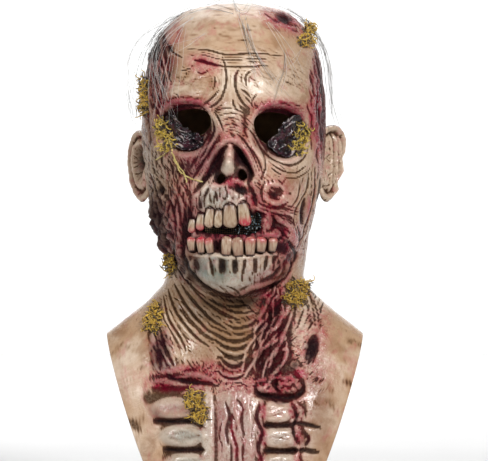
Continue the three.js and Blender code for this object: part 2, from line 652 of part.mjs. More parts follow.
function addMesh(group, name, solid, colour, roughness) {
  const material = new THREE.MeshStandardMaterial({ color: colour, roughness, metalness: 0 });
  const mesh = new THREE.Mesh(geometryOf(solid), material);
  mesh.name = name;
  group.add(mesh);
}

// The outside of the shell with its openings uncut, raised by lift
function outsideForm(lift) {
  return filledForm(skin, OUTER_COLUMNS, "facets", lift, 0);
}

// The hollow of the shell, raised by lift and carried on below the hem by an extra length
function hollowForm(lift, extra) {
  return filledForm(lining, INNER_COLUMNS, "lining", lift, extra);
}

function maskShell() {
  let shell = outsideForm(0);
  for (const row of TEETH) shell = shell.add(tooth(row));
  for (const side of [-1, 1]) shell = shell.add(ear(side));
  shell = shell.subtract(hollowForm(0, BIB_DROP * 0.1));
  for (const outline of Object.values(OPENINGS)) shell = shell.subtract(frontCutter(outline));
  return shell;
}

const mask = new THREE.Group();
addMesh(mask, "mask_shell", maskShell(), 0xb99878, 0.6);
const taken = [outsideForm(GAP)];
for (const row of FILMS) {
  const film = sheetOver(row, 0, GAP + FILM_THICKNESS, FILM_RIPPLE).subtract(taken[0]);
  addMesh(mask, row.name, largestOf(film), 0x2c1a20, 0.35);
  const margin = 2 * GAP;
  const wider = { ...row, wide: row.wide + margin / HEAD_HALF, high: row.high + margin / CHIN_DROP };
  taken.push(sheetOver(wider, -GAP, 2 * GAP + FILM_THICKNESS, FILM_RIPPLE));
}
for (const row of MOSS) {
  const tuft = taken.reduce((left, form) => left.subtract(form), mossTuft(row));
  addMesh(mask, row.name, largestOf(tuft), 0xa88a2a, 0.9);
}
const netLayer = hollowForm(-GAP, 0).subtract(hollowForm(-GAP - NET_THICKNESS, 0));
addMesh(mask, "mouth_net", netLayer.intersect(frontCutter(NET_OUTLINE)), 0x0b0c0e, 0.4);

export default mask;
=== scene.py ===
# The looks of a full-head zombie mask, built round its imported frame.
# Metres in the scene; tables hold millimetres, or shares of the driving sizes. +Z up, the face looks along -Y.
import math
import random

import bpy
import numpy as np
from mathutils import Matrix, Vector, noise
from mathutils.kdtree import KDTree


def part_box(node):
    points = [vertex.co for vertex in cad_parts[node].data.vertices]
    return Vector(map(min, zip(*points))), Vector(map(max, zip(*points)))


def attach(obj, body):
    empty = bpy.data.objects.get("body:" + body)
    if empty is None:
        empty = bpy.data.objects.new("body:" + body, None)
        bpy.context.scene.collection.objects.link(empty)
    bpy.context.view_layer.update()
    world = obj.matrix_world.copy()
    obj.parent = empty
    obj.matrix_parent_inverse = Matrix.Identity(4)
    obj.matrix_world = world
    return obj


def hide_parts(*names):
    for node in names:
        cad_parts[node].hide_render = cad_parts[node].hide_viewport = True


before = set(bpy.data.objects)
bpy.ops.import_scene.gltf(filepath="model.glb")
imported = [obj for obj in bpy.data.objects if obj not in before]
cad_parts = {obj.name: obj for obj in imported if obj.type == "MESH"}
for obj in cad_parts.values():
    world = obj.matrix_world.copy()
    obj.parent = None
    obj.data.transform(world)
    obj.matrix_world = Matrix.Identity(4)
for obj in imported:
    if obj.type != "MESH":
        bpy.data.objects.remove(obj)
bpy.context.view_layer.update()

MM = 0.001
random.seed(11)

# Driving sizes, in millimetres, read from the frame's shell
SHELL_LOW, SHELL_HIGH = (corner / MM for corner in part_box("mask_shell"))
WALL = SHELL_HIGH.z
HEM_DROP = WALL - SHELL_LOW.z
SHOULDER_HALF = SHELL_HIGH.x
BACK_REACH = SHELL_HIGH.y

# Shares of those sizes
CHIN_DROP = HEM_DROP * 0.5625
BIB_DROP = HEM_DROP - CHIN_DROP
HEAD_HALF = SHOULDER_HALF * 0.712
FACE_REACH = BACK_REACH * 0.881
NECK_HALF = SHOULDER_HALF * 0.538
NECK_FRONT = BACK_REACH * 0.523
NECK_BACK = BACK_REACH * 0.642
BIB_FRONT = BACK_REACH * 0.862
BIB_BACK = BACK_REACH * 0.899
SHOULDER_DROP = BIB_DROP * 0.157
NAPE_DROP = BIB_DROP * 0.476

# Where the photograph was taken from: the plane through the vertical axis fills the picture's width
CAMERA_DISTANCE = 2400.0
PICTURE_WIDTH = 449.0
CAMERA_X = 8.3
CAMERA_DROP = 209.0


def table(columns, rows):
    names = columns.split()
    return [dict(zip(names, map(float, row.split()))) for row in rows.strip().splitlines()]


# Skull and neck, from the crown down, in shares of CHIN_DROP, HEAD_HALF, FACE_REACH and BACK_REACH
SKULL = table("drop left right front back", """
0.006 0.24 0.24 0.21 0.2
0.019 0.43 0.43 0.4 0.385
0.037 0.583 0.595 0.54 0.53
0.074 0.726 0.738 0.7 0.69
0.119 0.84 0.84 0.81 0.8
0.17 0.93 0.917 0.9 0.89
0.23 0.976 0.958 0.958 0.954
0.296 1 0.982 0.99 0.99
0.37 1.018 1 1 1
0.444 1.018 1 0.98 0.98
0.519 1 0.988 0.95 0.927
0.593 0.976 0.964 0.917 0.853
0.667 0.946 0.923 0.875 0.77
0.741 0.905 0.857 0.81 0.706
0.796 0.845 0.81 0.75 0.67
0.844 0.786 0.786 0.69 0.651
0.889 0.756 0.768 0.635 0.642
""")

# Neck and bib: drops are shares of each side's own drop below the chin, and side, front and back
# are shares of the way from the neck's size to the hem's
BIB = table("front_drop side_drop back_drop side front back", """
-0.09 -0.64 -0.2 0 0 0
-0.035 -0.52 -0.14 0.01 -0.05 0.03
0 -0.42 -0.08 0.03 -0.08 0.07
0.02 -0.33 -0.02 0.06 -0.08 0.12
0.06 -0.22 0.06 0.12 -0.07 0.2
0.12 -0.07 0.16 0.21 -0.03 0.3
0.21 0.12 0.28 0.33 0.07 0.45
0.31 0.3 0.4 0.46 0.2 0.6
0.41 0.47 0.52 0.58 0.4 0.73
0.53 0.63 0.65 0.7 0.6 0.83
0.67 0.78 0.78 0.82 0.78 0.91
0.83 0.9 0.9 0.92 0.9 0.96
1 1 1 1 1 1
""")
BIB_FLAT = math.radians(22)
BIB_EDGE = math.radians(92)

# The jaw's ellipses, in shares of CHIN_DROP, HEAD_HALF and FACE_REACH
JAW = table("drop half reach", """
0.37 0.6 0.9
0.444 0.7 0.96
0.519 0.77 0.985
0.593 0.79 1.005
0.667 0.77 1.02
0.741 0.74 1.035
0.796 0.71 1.045
0.844 0.67 1.05
0.889 0.58 1.05
0.926 0.5 1.04
0.956 0.41 1.005
0.978 0.32 0.95
0.99 0.25 0.87
0.996 0.2 0.8
""")
JAW_CENTRE = 0.38
JAW_BLEND = 5.0


def smoothstep(low, high, value):
    t = np.clip((value - low) / (high - low), 0, 1)
    return t * t * (3 - 2 * t)


def mix(a, b, t):
    return a + (b - a) * t


def unit(vectors):
    return vectors / np.maximum(np.linalg.norm(vectors, axis=-1, keepdims=True), 1e-9)


def on_curve(rows, at):
    """Places on a smooth curve through an array of rows, at an array of row numbers."""
    last = len(rows) - 1
    i = np.clip(np.floor(at).astype(int), 0, last - 1)
    t = (at - i)[..., None]
    a, b, c, d = (rows[np.clip(i + k, 0, last)] for k in (-1, 0, 1, 2))
    return b + 0.5 * t * (c - a + t * (2 * a - 5 * b + 4 * c - d + t * (3 * (b - c) + d - a)))


def section_table():
    """The sections in millimetres, from the crown's point to the hem, one row each."""
    rows = [[0, 0, 0, 0, 0, 0, 0]]
    for row in SKULL:
        drop = row["drop"] * CHIN_DROP
        sides = [row["left"] * HEAD_HALF, row["right"] * HEAD_HALF]
        rows.append([drop] * 3 + sides + [row["front"] * FACE_REACH, row["back"] * BACK_REACH])
    for row in BIB:
        drops = [CHIN_DROP + row["front_drop"] * BIB_DROP, CHIN_DROP + row["side_drop"] * SHOULDER_DROP]
        drops.append(CHIN_DROP + row["back_drop"] * NAPE_DROP)
        side = mix(NECK_HALF, SHOULDER_HALF, row["side"])
        front = mix(NECK_FRONT, BIB_FRONT, row["front"])
        rows.append(drops + [side, side, front, mix(NECK_BACK, BIB_BACK, row["back"])])
    return np.array(rows, float)


SECTIONS = section_table()
LAST = len(SECTIONS) - 1


def jaw_reach(angle, drop):
    share = drop / CHIN_DROP
    drops = [row["drop"] for row in JAW]
    reach = np.interp(share, drops, [row["reach"] for row in JAW]) * FACE_REACH
    half = np.interp(share, drops, [row["half"] for row in JAW]) * HEAD_HALF
    centre = JAW_CENTRE * reach
    depth = reach - centre
    across = np.sin(angle) / half
    along = np.cos(angle) / depth
    a = across ** 2 + along ** 2
    b = -2 * along * centre / depth
    root = b * b - 4 * a * ((centre / depth) ** 2 - 1)
    out = np.maximum(0, (-b + np.sqrt(np.maximum(root, 0))) / (2 * a))
    # The lowest ellipse closes over a short way, so that the chin's underside is a smooth shelf
    fade = 1 - smoothstep(drops[-1] - 0.004, drops[-1] + 0.006, share)
    return np.where((root > 0) & (share > drops[0]), out * fade, 0)


def base_point(angle, level):
    """Points of the smooth form, in millimetres, as an array of x, y, z."""
    s = on_curve(SECTIONS, level)
    away = np.abs(angle)
    front = 1 - smoothstep(BIB_FLAT, BIB_EDGE, away)
    back = smoothstep(BIB_EDGE, math.pi - BIB_FLAT, away)
    drop = s[..., 1] + (s[..., 0] - s[..., 1]) * front + (s[..., 2] - s[..., 1]) * back
    half = np.maximum(np.where(angle < 0, s[..., 3], s[..., 4]), 0.01)
    depth = np.maximum(np.where(np.cos(angle) > 0, s[..., 5], s[..., 6]), 0.01)
    reach = 1 / np.hypot(np.sin(angle) / half, np.cos(angle) / depth)
    jaw = jaw_reach(angle, drop)
    share = np.maximum(0, JAW_BLEND - np.abs(reach - jaw)) / JAW_BLEND
    reach = np.maximum(reach, jaw) + 0.25 * JAW_BLEND * share ** 2
    return np.stack([reach * np.sin(angle), -reach * np.cos(angle), WALL - drop], -1)


def base_normal(angle, level):
    across = base_point(angle + 0.02, level) - base_point(angle - 0.02, level)
    above, below = np.maximum(0.02, level - 0.05), np.minimum(LAST, level + 0.05)
    return unit(np.cross(base_point(angle, below) - base_point(angle, above), across))


def seen(points):
    """Where the camera of the photograph sees points: x and drop on the plane through the axis."""
    scale = CAMERA_DISTANCE / (CAMERA_DISTANCE + points[..., 1])
    x = CAMERA_X + (points[..., 0] - CAMERA_X) * scale
    drop = CAMERA_DROP + (WALL - points[..., 2] - CAMERA_DROP) * scale
    return x, drop


# The grid of the shell, finest where the photograph shows the surface. Each step starts at a drop in
# millimetres or an angle in degrees, and gives the distance between rows or columns from there on.
CROWN_GAP = 2.4
CROWN_START = 0.004
ROW_STEPS = ((40.0, 1.2), (275.0, 1.4), (425.0, 2.8), (HEM_DROP, 2.8))
COLUMN_STEPS = ((0.0, 0.76), (52.0, 1.5), (95.0, 3.7), (180.0, 3.7))
FORWARD = np.array([0.0, -1.0, 0.0])
# The y between which painted detail fades out, and how much relief on the face leans forward
FADE = (30, -12)
LEAN = 0.85


def stations(steps):
    out = [steps[0][0]]
    for (start, gap), (end, _) in zip(steps, steps[1:]):
        count = max(1, round((end - start) / gap))
        out += [start + (end - start) * (k + 1) / count for k in range(count)]
    return np.array(out)


def shell_grid():
    """Angles and levels of the shell's rows and columns, from the crown to the hem."""
    levels = np.linspace(CROWN_START, LAST, 6000)
    middle = base_point(np.zeros_like(levels), levels)
    run = np.concatenate([[0], np.cumsum(np.linalg.norm(np.diff(middle, axis=0), axis=1))])
    drops = WALL - middle[:, 2]
    crown = np.interp(ROW_STEPS[0][0], drops, run)
    near = np.linspace(CROWN_GAP / 2, crown, round(crown / CROWN_GAP), endpoint=False)
    rows = np.concatenate([np.interp(near, run, levels), np.interp(stations(ROW_STEPS), drops, levels)])
    half = np.radians(stations(COLUMN_STEPS))
    columns = np.concatenate([-half[:0:-1], half[:-1]])
    angle, level = np.meshgrid(columns, rows)
    return angle, level


def noise_over(points, scale, octaves, seed=0.0):
    """Fractal noise from about -1 to 1 at points in millimetres."""
    flat = points.reshape(-1, 3) / scale + seed
    made = [noise.fractal(p, 0.55, 2.0, octaves) for p in flat.tolist()]
    return np.array(made).reshape(points.shape[:-1])


class Surface:
    """The shell's grid with its relief in millimetres and its painted masks, each an array over the grid."""

    def __init__(self):
        self.angle, level = shell_grid()
        self.base = base_point(self.angle, level)
        self.normal = base_normal(self.angle, level)
        # Relief on the face stands straight out towards the front, and on the sides along the normal
        ahead = LEAN * smoothstep(0.3, 0.65, -self.normal[..., 1])[..., None]
        self.out = unit(self.normal * (1 - ahead) + FORWARD * ahead)
        self.x, self.drop = seen(self.base)
        # Painted detail ends in an uneven edge behind the temples and on the shoulders
        uneven = 10 * noise_over(self.base, 15, 3) + 6 * noise_over(self.base, 5, 2)
        self.front = smoothstep(*FADE, self.base[..., 1] + uneven)
        self.rise = np.zeros_like(self.angle)
        self.masks = {}

    def skin(self, rise):
        return self.base + self.out * rise[..., None]

    def mask(self, name):
        return self.masks.setdefault(name, np.zeros_like(self.angle))

    def at_least(self, name, values):
        layer = self.mask(name)
        layer[:] = np.maximum(layer, values)

    def near(self, x, drop, reach):
        """The part of the grid within reach of a place, or None."""
        close = (np.abs(self.x - x) < reach) & (np.abs(self.drop - drop) < reach) & (self.front > 0)
        return close if close.any() else None


def blob(surface, x, drop, wide, high, turn=0.0, rise=0.0, edge=2.0, **paint):
    """An oval swell, hollow or stain. Edge 1 is soft and 3 is firm."""
    close = surface.near(x, drop, 2.6 * max(wide, high))
    if close is None:
        return
    c, s = math.cos(math.radians(turn)), math.sin(math.radians(turn))
    dx, dy = surface.x[close] - x, surface.drop[close] - drop
    q = ((dx * c + dy * s) / wide) ** 2 + ((dy * c - dx * s) / high) ** 2
    apply(surface, close, np.exp(-(q ** edge)), rise, paint)


def apply(surface, close, weight, rise, paint):
    """Raises the chosen part by rise where weight is 1. Paint below 0 takes that share of a mask away."""
    weight = weight * surface.front[close]
    surface.rise[close] += weight * rise
    for name, value in paint.items():
        layer = surface.mask(name)
        old = layer[close]
        target = old * (1 + value) if value < 0 else np.maximum(old, value)
        layer[close] = old + weight * (target - old)


def smooth_path(points, count):
    """Count points along a smooth curve through the given ones."""
    p = np.array(points, float)
    return on_curve(p, np.linspace(0, len(p) - 1, count))


def stroke(surface, points, width, rise=0.0, taper=0.3, lips=0.0, **paint):
    """A groove or ridge along a curve, thin over taper of its length at each end. Lips raise its banks."""
    path = smooth_path(points, 6 * len(points))
    centre = path.mean(0)
    close = surface.near(centre[0], centre[1], np.abs(path - centre).max() + 3.5 * width)
    if close is None:
        return
    place = np.stack([surface.x[close], surface.drop[close]], -1)
    a, b = path[:-1], path[1:]
    along = b - a
    length = np.maximum((along ** 2).sum(1), 1e-9)
    t = np.clip(((place[:, None] - a) * along).sum(-1) / length, 0, 1)
    gap = np.linalg.norm(place[:, None] - (a + along * t[..., None]), axis=-1)
    nearest = gap.argmin(1)
    index = np.arange(len(place))
    share = (nearest + t[index, nearest]) / len(a)
    thin = np.clip(np.minimum(share, 1 - share) / taper, 0, 1) ** 0.6 if taper else 1.0
    q = gap[index, nearest] / (width * (0.35 + 0.65 * thin))
    weight = np.exp(-q * q) * thin
    if lips:
        bank = np.exp(-((q - 1.7) ** 2) * 1.5) * thin
        surface.rise[close] += bank * lips * surface.front[close]
    apply(surface, close, weight, rise, paint)


def hatch(surface, seed, x, drop, wide, high, heading, count, length, width, rise, bend=0.15, fan=12.0,
          **paint):
    """Many short strokes inside an oval. Heading is their way in degrees, from across (0) to down (90)."""
    rng = random.Random(seed)
    for _ in range(count):
        radius, spin = math.sqrt(rng.random()), rng.uniform(0, 2 * math.pi)
        at = (x + wide * radius * math.cos(spin), drop + high * radius * math.sin(spin))
        aim = math.radians(heading + rng.uniform(-fan, fan))
        reach = 0.5 * length * rng.uniform(0.5, 1.4)
        step = (math.cos(aim) * reach, math.sin(aim) * reach)
        off = rng.uniform(-bend, bend) * 2 * reach
        middle = (at[0] - math.sin(aim) * off, at[1] + math.cos(aim) * off)
        points = [(at[0] - step[0], at[1] - step[1]), middle, (at[0] + step[0], at[1] + step[1])]
        size = rng.uniform(0.7, 1.3)
        stroke(surface, points, width * size, rise * rng.uniform(0.5, 1.3), 0.4, **paint)


# Features of the face, neck and chest, in places as photographed. Rows of these tables are:
# oval x drop wide high turn rise edge, hatch seed x drop wide high heading count length width rise,
# line width rise and its points as x,drop, each followed by the names and strengths of its paint.
# A row of banks gives the height of the banks beside the lines after it.
def number(word):
    return int(word) if word.lstrip("-").isdigit() else float(word)


def path(text):
    """The points in a text of x,drop pairs."""
    return [tuple(number(part) for part in pair.split(",")) for pair in text.split()]


def carve(surface, rows):
    """Works the rows of a table into the surface, in their order."""
    banks = 0.0
    for row in rows.strip().splitlines():
        kind, *words = row.split()
        numbers, points, named = [], [], {}
        words = iter(words)
        for word in words:
            if word[0].isalpha():
                named[word] = number(next(words))
            elif "," in word:
                points += path(word)
            else:
                numbers.append(number(word))
        if kind == "oval":
            blob(surface, *numbers, **named)
        elif kind == "line":
            stroke(surface, points, *numbers, lips=banks, **named)
        elif kind == "hatch":
            hatch(surface, *numbers, **named)
        else:
            banks = numbers[0]


# Where the paint turns to blood and plum, and where the skin is drawn smooth
GORE = """
oval -5 196 54 42 0 0 2 gore 0.85
oval -60 206 22 32 -4 0 2 gore 0.7
oval 46 216 20 28 20 0 2 gore 0.85
oval -12 138 32 26 0 0 2 gore 0.75
oval -46 96 28 11 0 0 2 gore 1
oval 42 99 28 11 4 0 2 gore 1
oval -73 72 14 46 4 0 2 gore 0.9
oval 79 96 9 62 -3 0 2 gore 1
oval -58 30 11 13 0 0 2 gore 0.6
oval 45 17 24 11 27 0 2 gore 0.9
oval -28 56 15 9 8 0 2 gore 0.8
oval 18 262 36 9 -8 0 2 gore 0.7
oval 0 345 88 15 0 0 2 gore 1
oval 44 330 32 42 20 0 2 gore 0.85
oval -4 405 62 60 0 0 2 gore 0.25
oval 34 290 22 34 0 0 2 gore 0.8
oval 0 120 18 18 0 0 2 gore 0.6
oval 38 180 18 15 0 0 2 gore 0.5
oval -68 318 12 20 0 0 2 gore 0.8
oval 76 300 12 22 0 0 2 gore 0.6
oval 70 190 7 26 8 0 2 gore 0.6
oval -42 150 24 16 0 0 2 gore 0.7
oval 44 148 22 5 -10 0 2 gore 0.35
oval -2 420 26 60 0 0 2 gore 0.3
"""
CALM = """
oval -2 30 70 40 0 0 2 smooth 0.9
oval 62 165 17 36 8 0 2 smooth 0.55
oval 64 285 16 28 0 0 2 smooth 0.55
oval -40 84 22 8 0 0 2 smooth 0.7
oval 40 84 22 8 0 0 2 smooth 0.7
oval 2 76 28 20 0 0 2 smooth 0.85
oval -98 350 26 60 8 0 2 smooth 0.85
oval 104 350 26 60 -8 0 2 smooth 0.85
oval -82 420 20 50 8 0 2 smooth 0.85
oval 88 420 20 50 -8 0 2 smooth 0.85
"""
FOREHEAD = """
oval -44 83 27 9 0 3.6 1 pale 0.5
oval 42 85 27 9 0 3.6 1 pale 0.4
oval -4 86 13 14 0 2.8 1
oval -14 25 34 18 0 0 1 pale 0.3
oval 50 62 20 26 0 0 1 ochre 0.45
oval 62 80 12 22 0 0 1 ochre 0.6
oval 20 40 34 9 0 0 1 ochre 0.3
oval -30 54 16 9 10 0 2 red 0.45
oval -28 63 12 6 0 0 1 red 0.35
oval -55 30 9 9 0 0 1 red 0.42
oval -60 42 4 4 0 -0.8 2 dark 0.85
oval -56 52 5 6 0 -0.4 1 red 0.5 dark 0.3
oval 44 17 20 7.5 27 0 2 red 0.5
oval 45 14 9 4 30 -1.2 2 dark 0.95
line 1.9 -0.9 26,8 36,15 47,20 58,27 red 0.9
line 1.4 0.72 30,6 42,10 52,15 60,22 red 0.6
line 1.4 -1.4 -38,52 -30,53.5 -22,55.5 -13,58 red 1 dark 0.55
line 1.2 -0.72 -34,51 -28,53 -25,57 red 1 dark 0.35
line 1 -0.63 -35,63 -30,64.5 -24,61 red 0.9
banks 0.6
line 0.94 -0.67 -46,42 -25,43 -8,47 20,46 47,49 dark 0.22
line 1 -0.75 -16,56 -10,58 8,58.5 32,57 dark 0.26
line 0.65 -0.37 -46,50 -32,47 -10,52 20,51 40,53 dark 0.11
line 1 -0.61 -63,36 -57,45 -48,50 dark 0.27
line 0.72 -0.37 -50,62 -45,61 -39,59 dark 0.17
line 1.2 -1.09 -12,49 -9,58 -8,72 -12,86 -19,94 -27,97 dark 0.29
line 1.3 -1.16 5,59 0.5,67 1,79 6,90 14,98 dark 0.3
line 0.86 -0.55 -19,67 -18,73 -20.5,80 dark 0.24
line 1.1 -0.82 -14,79 -20,86 -28,93 -32,98 dark 0.29
line 0.86 -0.55 -12,87 -18,92 -24,96 dark 0.22
line 1 -0.67 5,79 10,82 15,88 dark 0.27
line 0.86 -0.55 9,86 13,90 17,96 dark 0.22
line 0.94 -0.55 21,83 16.5,88 15,94 dark 0.24
line 1 -0.37 16,61 10,67 10,76 dark 0.11
line 1.3 -0.95 -2,88 -1,94 3,99 dark 0.32
line 0.72 -0.31 -57,83 -53,84 -51,88 dark 0.14
line 0.94 -0.67 -18,99 -8,96.5 1,98 10,102 dark 0.22
line 0.86 -0.61 -16,104 -5,101 6,103 dark 0.17
line 0.86 -0.55 -14,109 -3,105.5 8,109 dark 0.16 red 0.3
line 0.86 -0.55 -13,114 -3,111 7,115 dark 0.13 red 0.4
line 0.79 -0.49 -11,119 -2,117 6,120 dark 0.14
hatch 1 -4 30 52 24 0 60 24 0.6 -0.12 fan 7 ochre 0.5
hatch 2 34 66 34 24 35 60 16 0.6 -0.15 dark 0.1 ochre 0.6
hatch 3 -40 76 22 12 5 30 12 0.6 -0.14 dark 0.1 ochre 0.4
hatch 4 46 17 14 6 27 16 12 0.9 0.6 red 0.8 dark 0.18
"""
TEMPLES = """
oval -70 66 10 42 3 -0.8 2 plum 0.42 red 0.2
oval -74 40 8 18 14 0 2 dark 0.92
oval -64 44 5 9 0 0 1 dark 0.7 red 0.4
oval -60 60 6 12 0 0 1 dark 0.35 plum 0.4
oval 80 75 7 40 -3 0 2 plum 0.65
oval 77 108 6 40 0 0 2 red 0.8 plum 0.4
oval 82 118 3 26 0 0 2 dark 0.6
oval 62 105 9 14 0 0 1 ochre 0.5
oval -80 120 8 30 0 0 1 plum 0.4 ochre 0.4
line 2.2 0.8 71,83 72,97 76,118 74,140 red 0.85
line 1.6 -1.2 76,48 80,70 82,100 81,130 dark 0.8 plum 0.6
line 1.4 -0.8 66,92 70,110 71,132 red 0.7
line 1.8 -1.4 78,96 79,112 80,128 dark 0.75 plum 0.5
hatch 11 -71 66 9 42 82 90 15 0.9 0.8 dark 0.15 pale 0.3
hatch 12 -71 66 10 42 85 70 11 0.8 -0.6 dark 0.42 plum 0.5
hatch 13 76 95 8 50 84 70 18 0.9 -0.6 dark 0.16 red 0.5
hatch 14 -80 130 8 34 84 50 18 1 0.7 dark 0.27 ochre 0.3
"""
# In the eyes, the dark of the upper-lid ovals and hatches and of the dark lines just below the brow rims is
# painted shade under the brows; their red is paint
EYES = """
oval -46 115 25 21 10 -14 4 plum 0.7 dark 0.55
oval 42 119 24.5 24 0 -14 4 plum 0.6 dark 0.5
oval -4 112 12 20 0 6 2
oval -45 92 23 5 0 1.6 1 red 0.95 dark 0.22
oval 43 95.5 23 5.4 6 1.6 1 red 1 dark 0.22
oval 58 106 6 6 20 0.5 2 red 1 dark 0.3
oval 26 124 5 7 20 0 2 red 0.9 dark 0.5
oval -28 142 12 15 20 -1 2 plum 0.8 red 0.3
oval 72 97 6 13 0 0.6 2 red 0.9
oval -12 126 6 10 0 0 1 red 0.5
oval -44 142 14 5 5 0.8 2 red 0.5 plum 0.4
oval -42 152 15 9 -6 -2.2 2 plum 0.85
line 2.2 2.2 -68,103 -61,93 -47,90 -32,91.5 -22,99 red 1 plum 0.5
line 1.2 -1.4 -64,106 -57,97 -46,94 -32,95 -23,102 red 0.8 dark 0.9
line 2.3 1.4 -68,118 -62,133 -48,140 -32,134 -22,120 red 0.5 plum 0.5
line 2.2 2.2 17,107 21,99 33,94 47,95.5 59,102 66,111 red 1 plum 0.3
line 1.2 -1.4 19,108 24,102 34,98 47,99 57,106 red 0.8 dark 0.85
line 1.9 2 17,111 23,127 34,139 50,145 63,138 67,124 red 0.4 pale 0.4
line 1 -1.2 24,133 34,143 50,149 62,144 68,132 dark 0.6
banks 0.6
line 0.88 -0.96 28,143 42,153 55,156 66,149 dark 0.33
line 0.8 -0.72 33,151 38,155 43,158 dark 0.4
line 0.69 -0.58 39,147 45,152 48,156 dark 0.35
line 0.75 -0.65 46,161 58,160 69,153 dark 0.23
line 0.96 -1.12 2,107 14,117 24,133 28,150 22,168 dark 0.4
line 0.75 -0.72 8,104 19,114 28,130 32,143 dark 0.26
line 0.88 -1.04 0,119 9,127 17,141 23,157 dark 0.4
line 0.75 -0.88 7,129 14,139 19,153 18,163 dark 0.33 red 0.4
line 0.75 -0.65 29,150 25,158 20,167 dark 0.33
line 0.96 -1.12 -18,101 -14,108 -10,119 dark 0.44
line 1.2 -1.1 -22,104 -19,116 -25,130 -33,146 plum 0.8 dark 0.5
line 1.1 -1.2 -16,122 -24,138 -34,152 -40,164 plum 0.8 dark 0.65
hatch 21 -27 140 10 22 118 60 20 1 0.8 dark 0.3 red 0.45
hatch 22 -27 140 11 24 118 40 16 0.8 -0.8 dark 0.45 plum 0.6
hatch 23 20 140 9 24 65 26 18 0.7 -0.6 dark 0.12 red 0.4
hatch 24 2 116 10 14 60 26 9 0.8 -0.4 dark 0.21 red 0.35
hatch 25 -46 92 20 4 5 30 10 0.8 -0.5 dark 0.3 red 0.6
hatch 26 42 96 20 4 8 30 10 0.8 -0.5 dark 0.3 red 0.8
"""
# The two dark ovals round the nostrils are painted shade inside the nostrils
NOSE = """
line 3.4 3.4 -33,160 -22,143 -13,131 -4,126.5 5,130 13,141 21,158 red 0.6
line 2.8 -6.5 -6,131 -13,137 -20,149 -28,162 -38,175 dark 1
line 2.8 -6.5 -2,131 4,136 11,147 15,157 12,167 dark 1
line 1.2 1 -14,136 -21,148 -30,163 red 1
line 1.5 1.4 5,131 12,142 18,158 red 1
line 1 -1.2 10,128 20,142 27,158 dark 0.5 red 0.6
line 1 -1.2 -18,134 -28,147 -38,160 dark 0.5 red 0.6
line 1.1 -1.4 -3,153 -5,159 -10,161 dark 0.9
line 1.2 -1 -9,130 -5,128.5 0,130 dark 0.8
oval 5 143 4.6 10 -30 -3 2 dark 1 red 0.5
oval -16 150 4 9 24 -2 2 dark 0.85 plum 0.6
oval -5.6 142 4.8 11 4 8.5 2 pale 0.6 dark -1 gore -0.5 red -0.6
oval -6.4 151 6.4 8.5 0 8 3 pale 1 bone 0.6 dark -1 gore -1 red -1 ochre -1
oval -9.5 143 1.6 7 8 -1 1 ochre 0.8 dark 0.3
oval -5 134 4 5 0 0 1 red 0.5 ochre 0.4
oval -25 142 7 16 28 0 1 red 0.55
oval 18 143 6 16 -25 0 1 red 0.5
oval -4 124 11 5 0 0 1 red 0.5
oval -2 159 5 3 0 0 2 red 0.5
oval -13.5 161.5 6.5 6 0 -2 2 dark 0.92
oval 7.5 157.5 6.5 6.5 0 -2 2 dark 0.92 red 0.5
oval -4 165 6 4.5 0 1.6 2 red 1 dark -0.8
oval -15 167 8 2.4 -10 1.2 2 red 0.7
oval 3 163 4 2.5 20 1.2 2 red 1 dark -0.5
hatch 31 -3 166 12 5 70 26 7 0.8 1.2 red 1 dark 0.2
"""
# Teeth: x, drop, width, height, lean and how red the edge is
UPPER_TEETH = (
    (-38.5, 204.5, 6.6, 12, 4, 0.9), (-31, 201, 7.4, 14.5, 5, 1), (-22.9, 197.2, 8.4, 17, 7, 0.1),
    (-14.9, 198, 7.4, 15.5, 4, 0), (-4.6, 195.6, 12, 20.5, -2, 0), (8, 194, 10.6, 20.5, -9, 1),
)
LOWER_TEETH = (
    (-38.8, 221.5, 7.6, 12.5, -3, 0.8), (-30.4, 222.5, 7.6, 14.5, -5, 1), (-22.9, 223.2, 7.4, 14, -9, 0.9),
    (-7.6, 223.5, 9.6, 16.5, 5, 0.1), (2.4, 224.4, 10.2, 16.5, -7, 0.1), (13.6, 223.6, 9.4, 16.5, 1, 0.7),
    (23.4, 222.2, 9.2, 13.5, 4, 0.9), (33.6, 222, 8.2, 13, 7, 0.6),
)
GUMS = """
oval -15 181 24 15 4 2.2 3 bone 1 dark -0.6 gore -0.85 red -0.8
oval 2 182 13 12 0 1.2 3 bone 0.9 gore -0.6
oval -8 183 20 6 0 0 1 pale 0.4
oval -26 174 1.7 6 22 -1.4 1 dark 0.7
oval -17 178 1.5 5 -14 -1.3 1 dark 0.6
oval -21 183 5 7 10 0 1 green 0.7 dark 0.15
oval -9 180 1.6 5 12 -1 1 dark 0.5
oval -2 184 4 6 0 0 1 red 0.35
oval -32 186 2.6 8 12 -1.2 1 dark 0.8
oval 5 171.5 8 4 22 -2.4 2 dark 1
oval -5 172 3 4 0 0 2 red 0.6
oval 7 183 5 5 0 0.6 2 red 0.45
oval -37 198 5 16 0 0 2 plum 0.5 red 0.3
oval -44 205 6 22 6 -2.5 2 dark 0.95
oval -5 209 31 6.5 0 -4 3 dark 1
oval 14 202 12 12 -30 -4 3 dark 1
oval -2 214 39 5 0 0.4 2 plum 0.8 red 0.6 dark 0.75
oval -5 222 42 9 0 -1.6 3 dark 0.72 plum 0.6
oval -15.5 221 4 9 0 -2 2 dark 0.9 red 0.5
"""
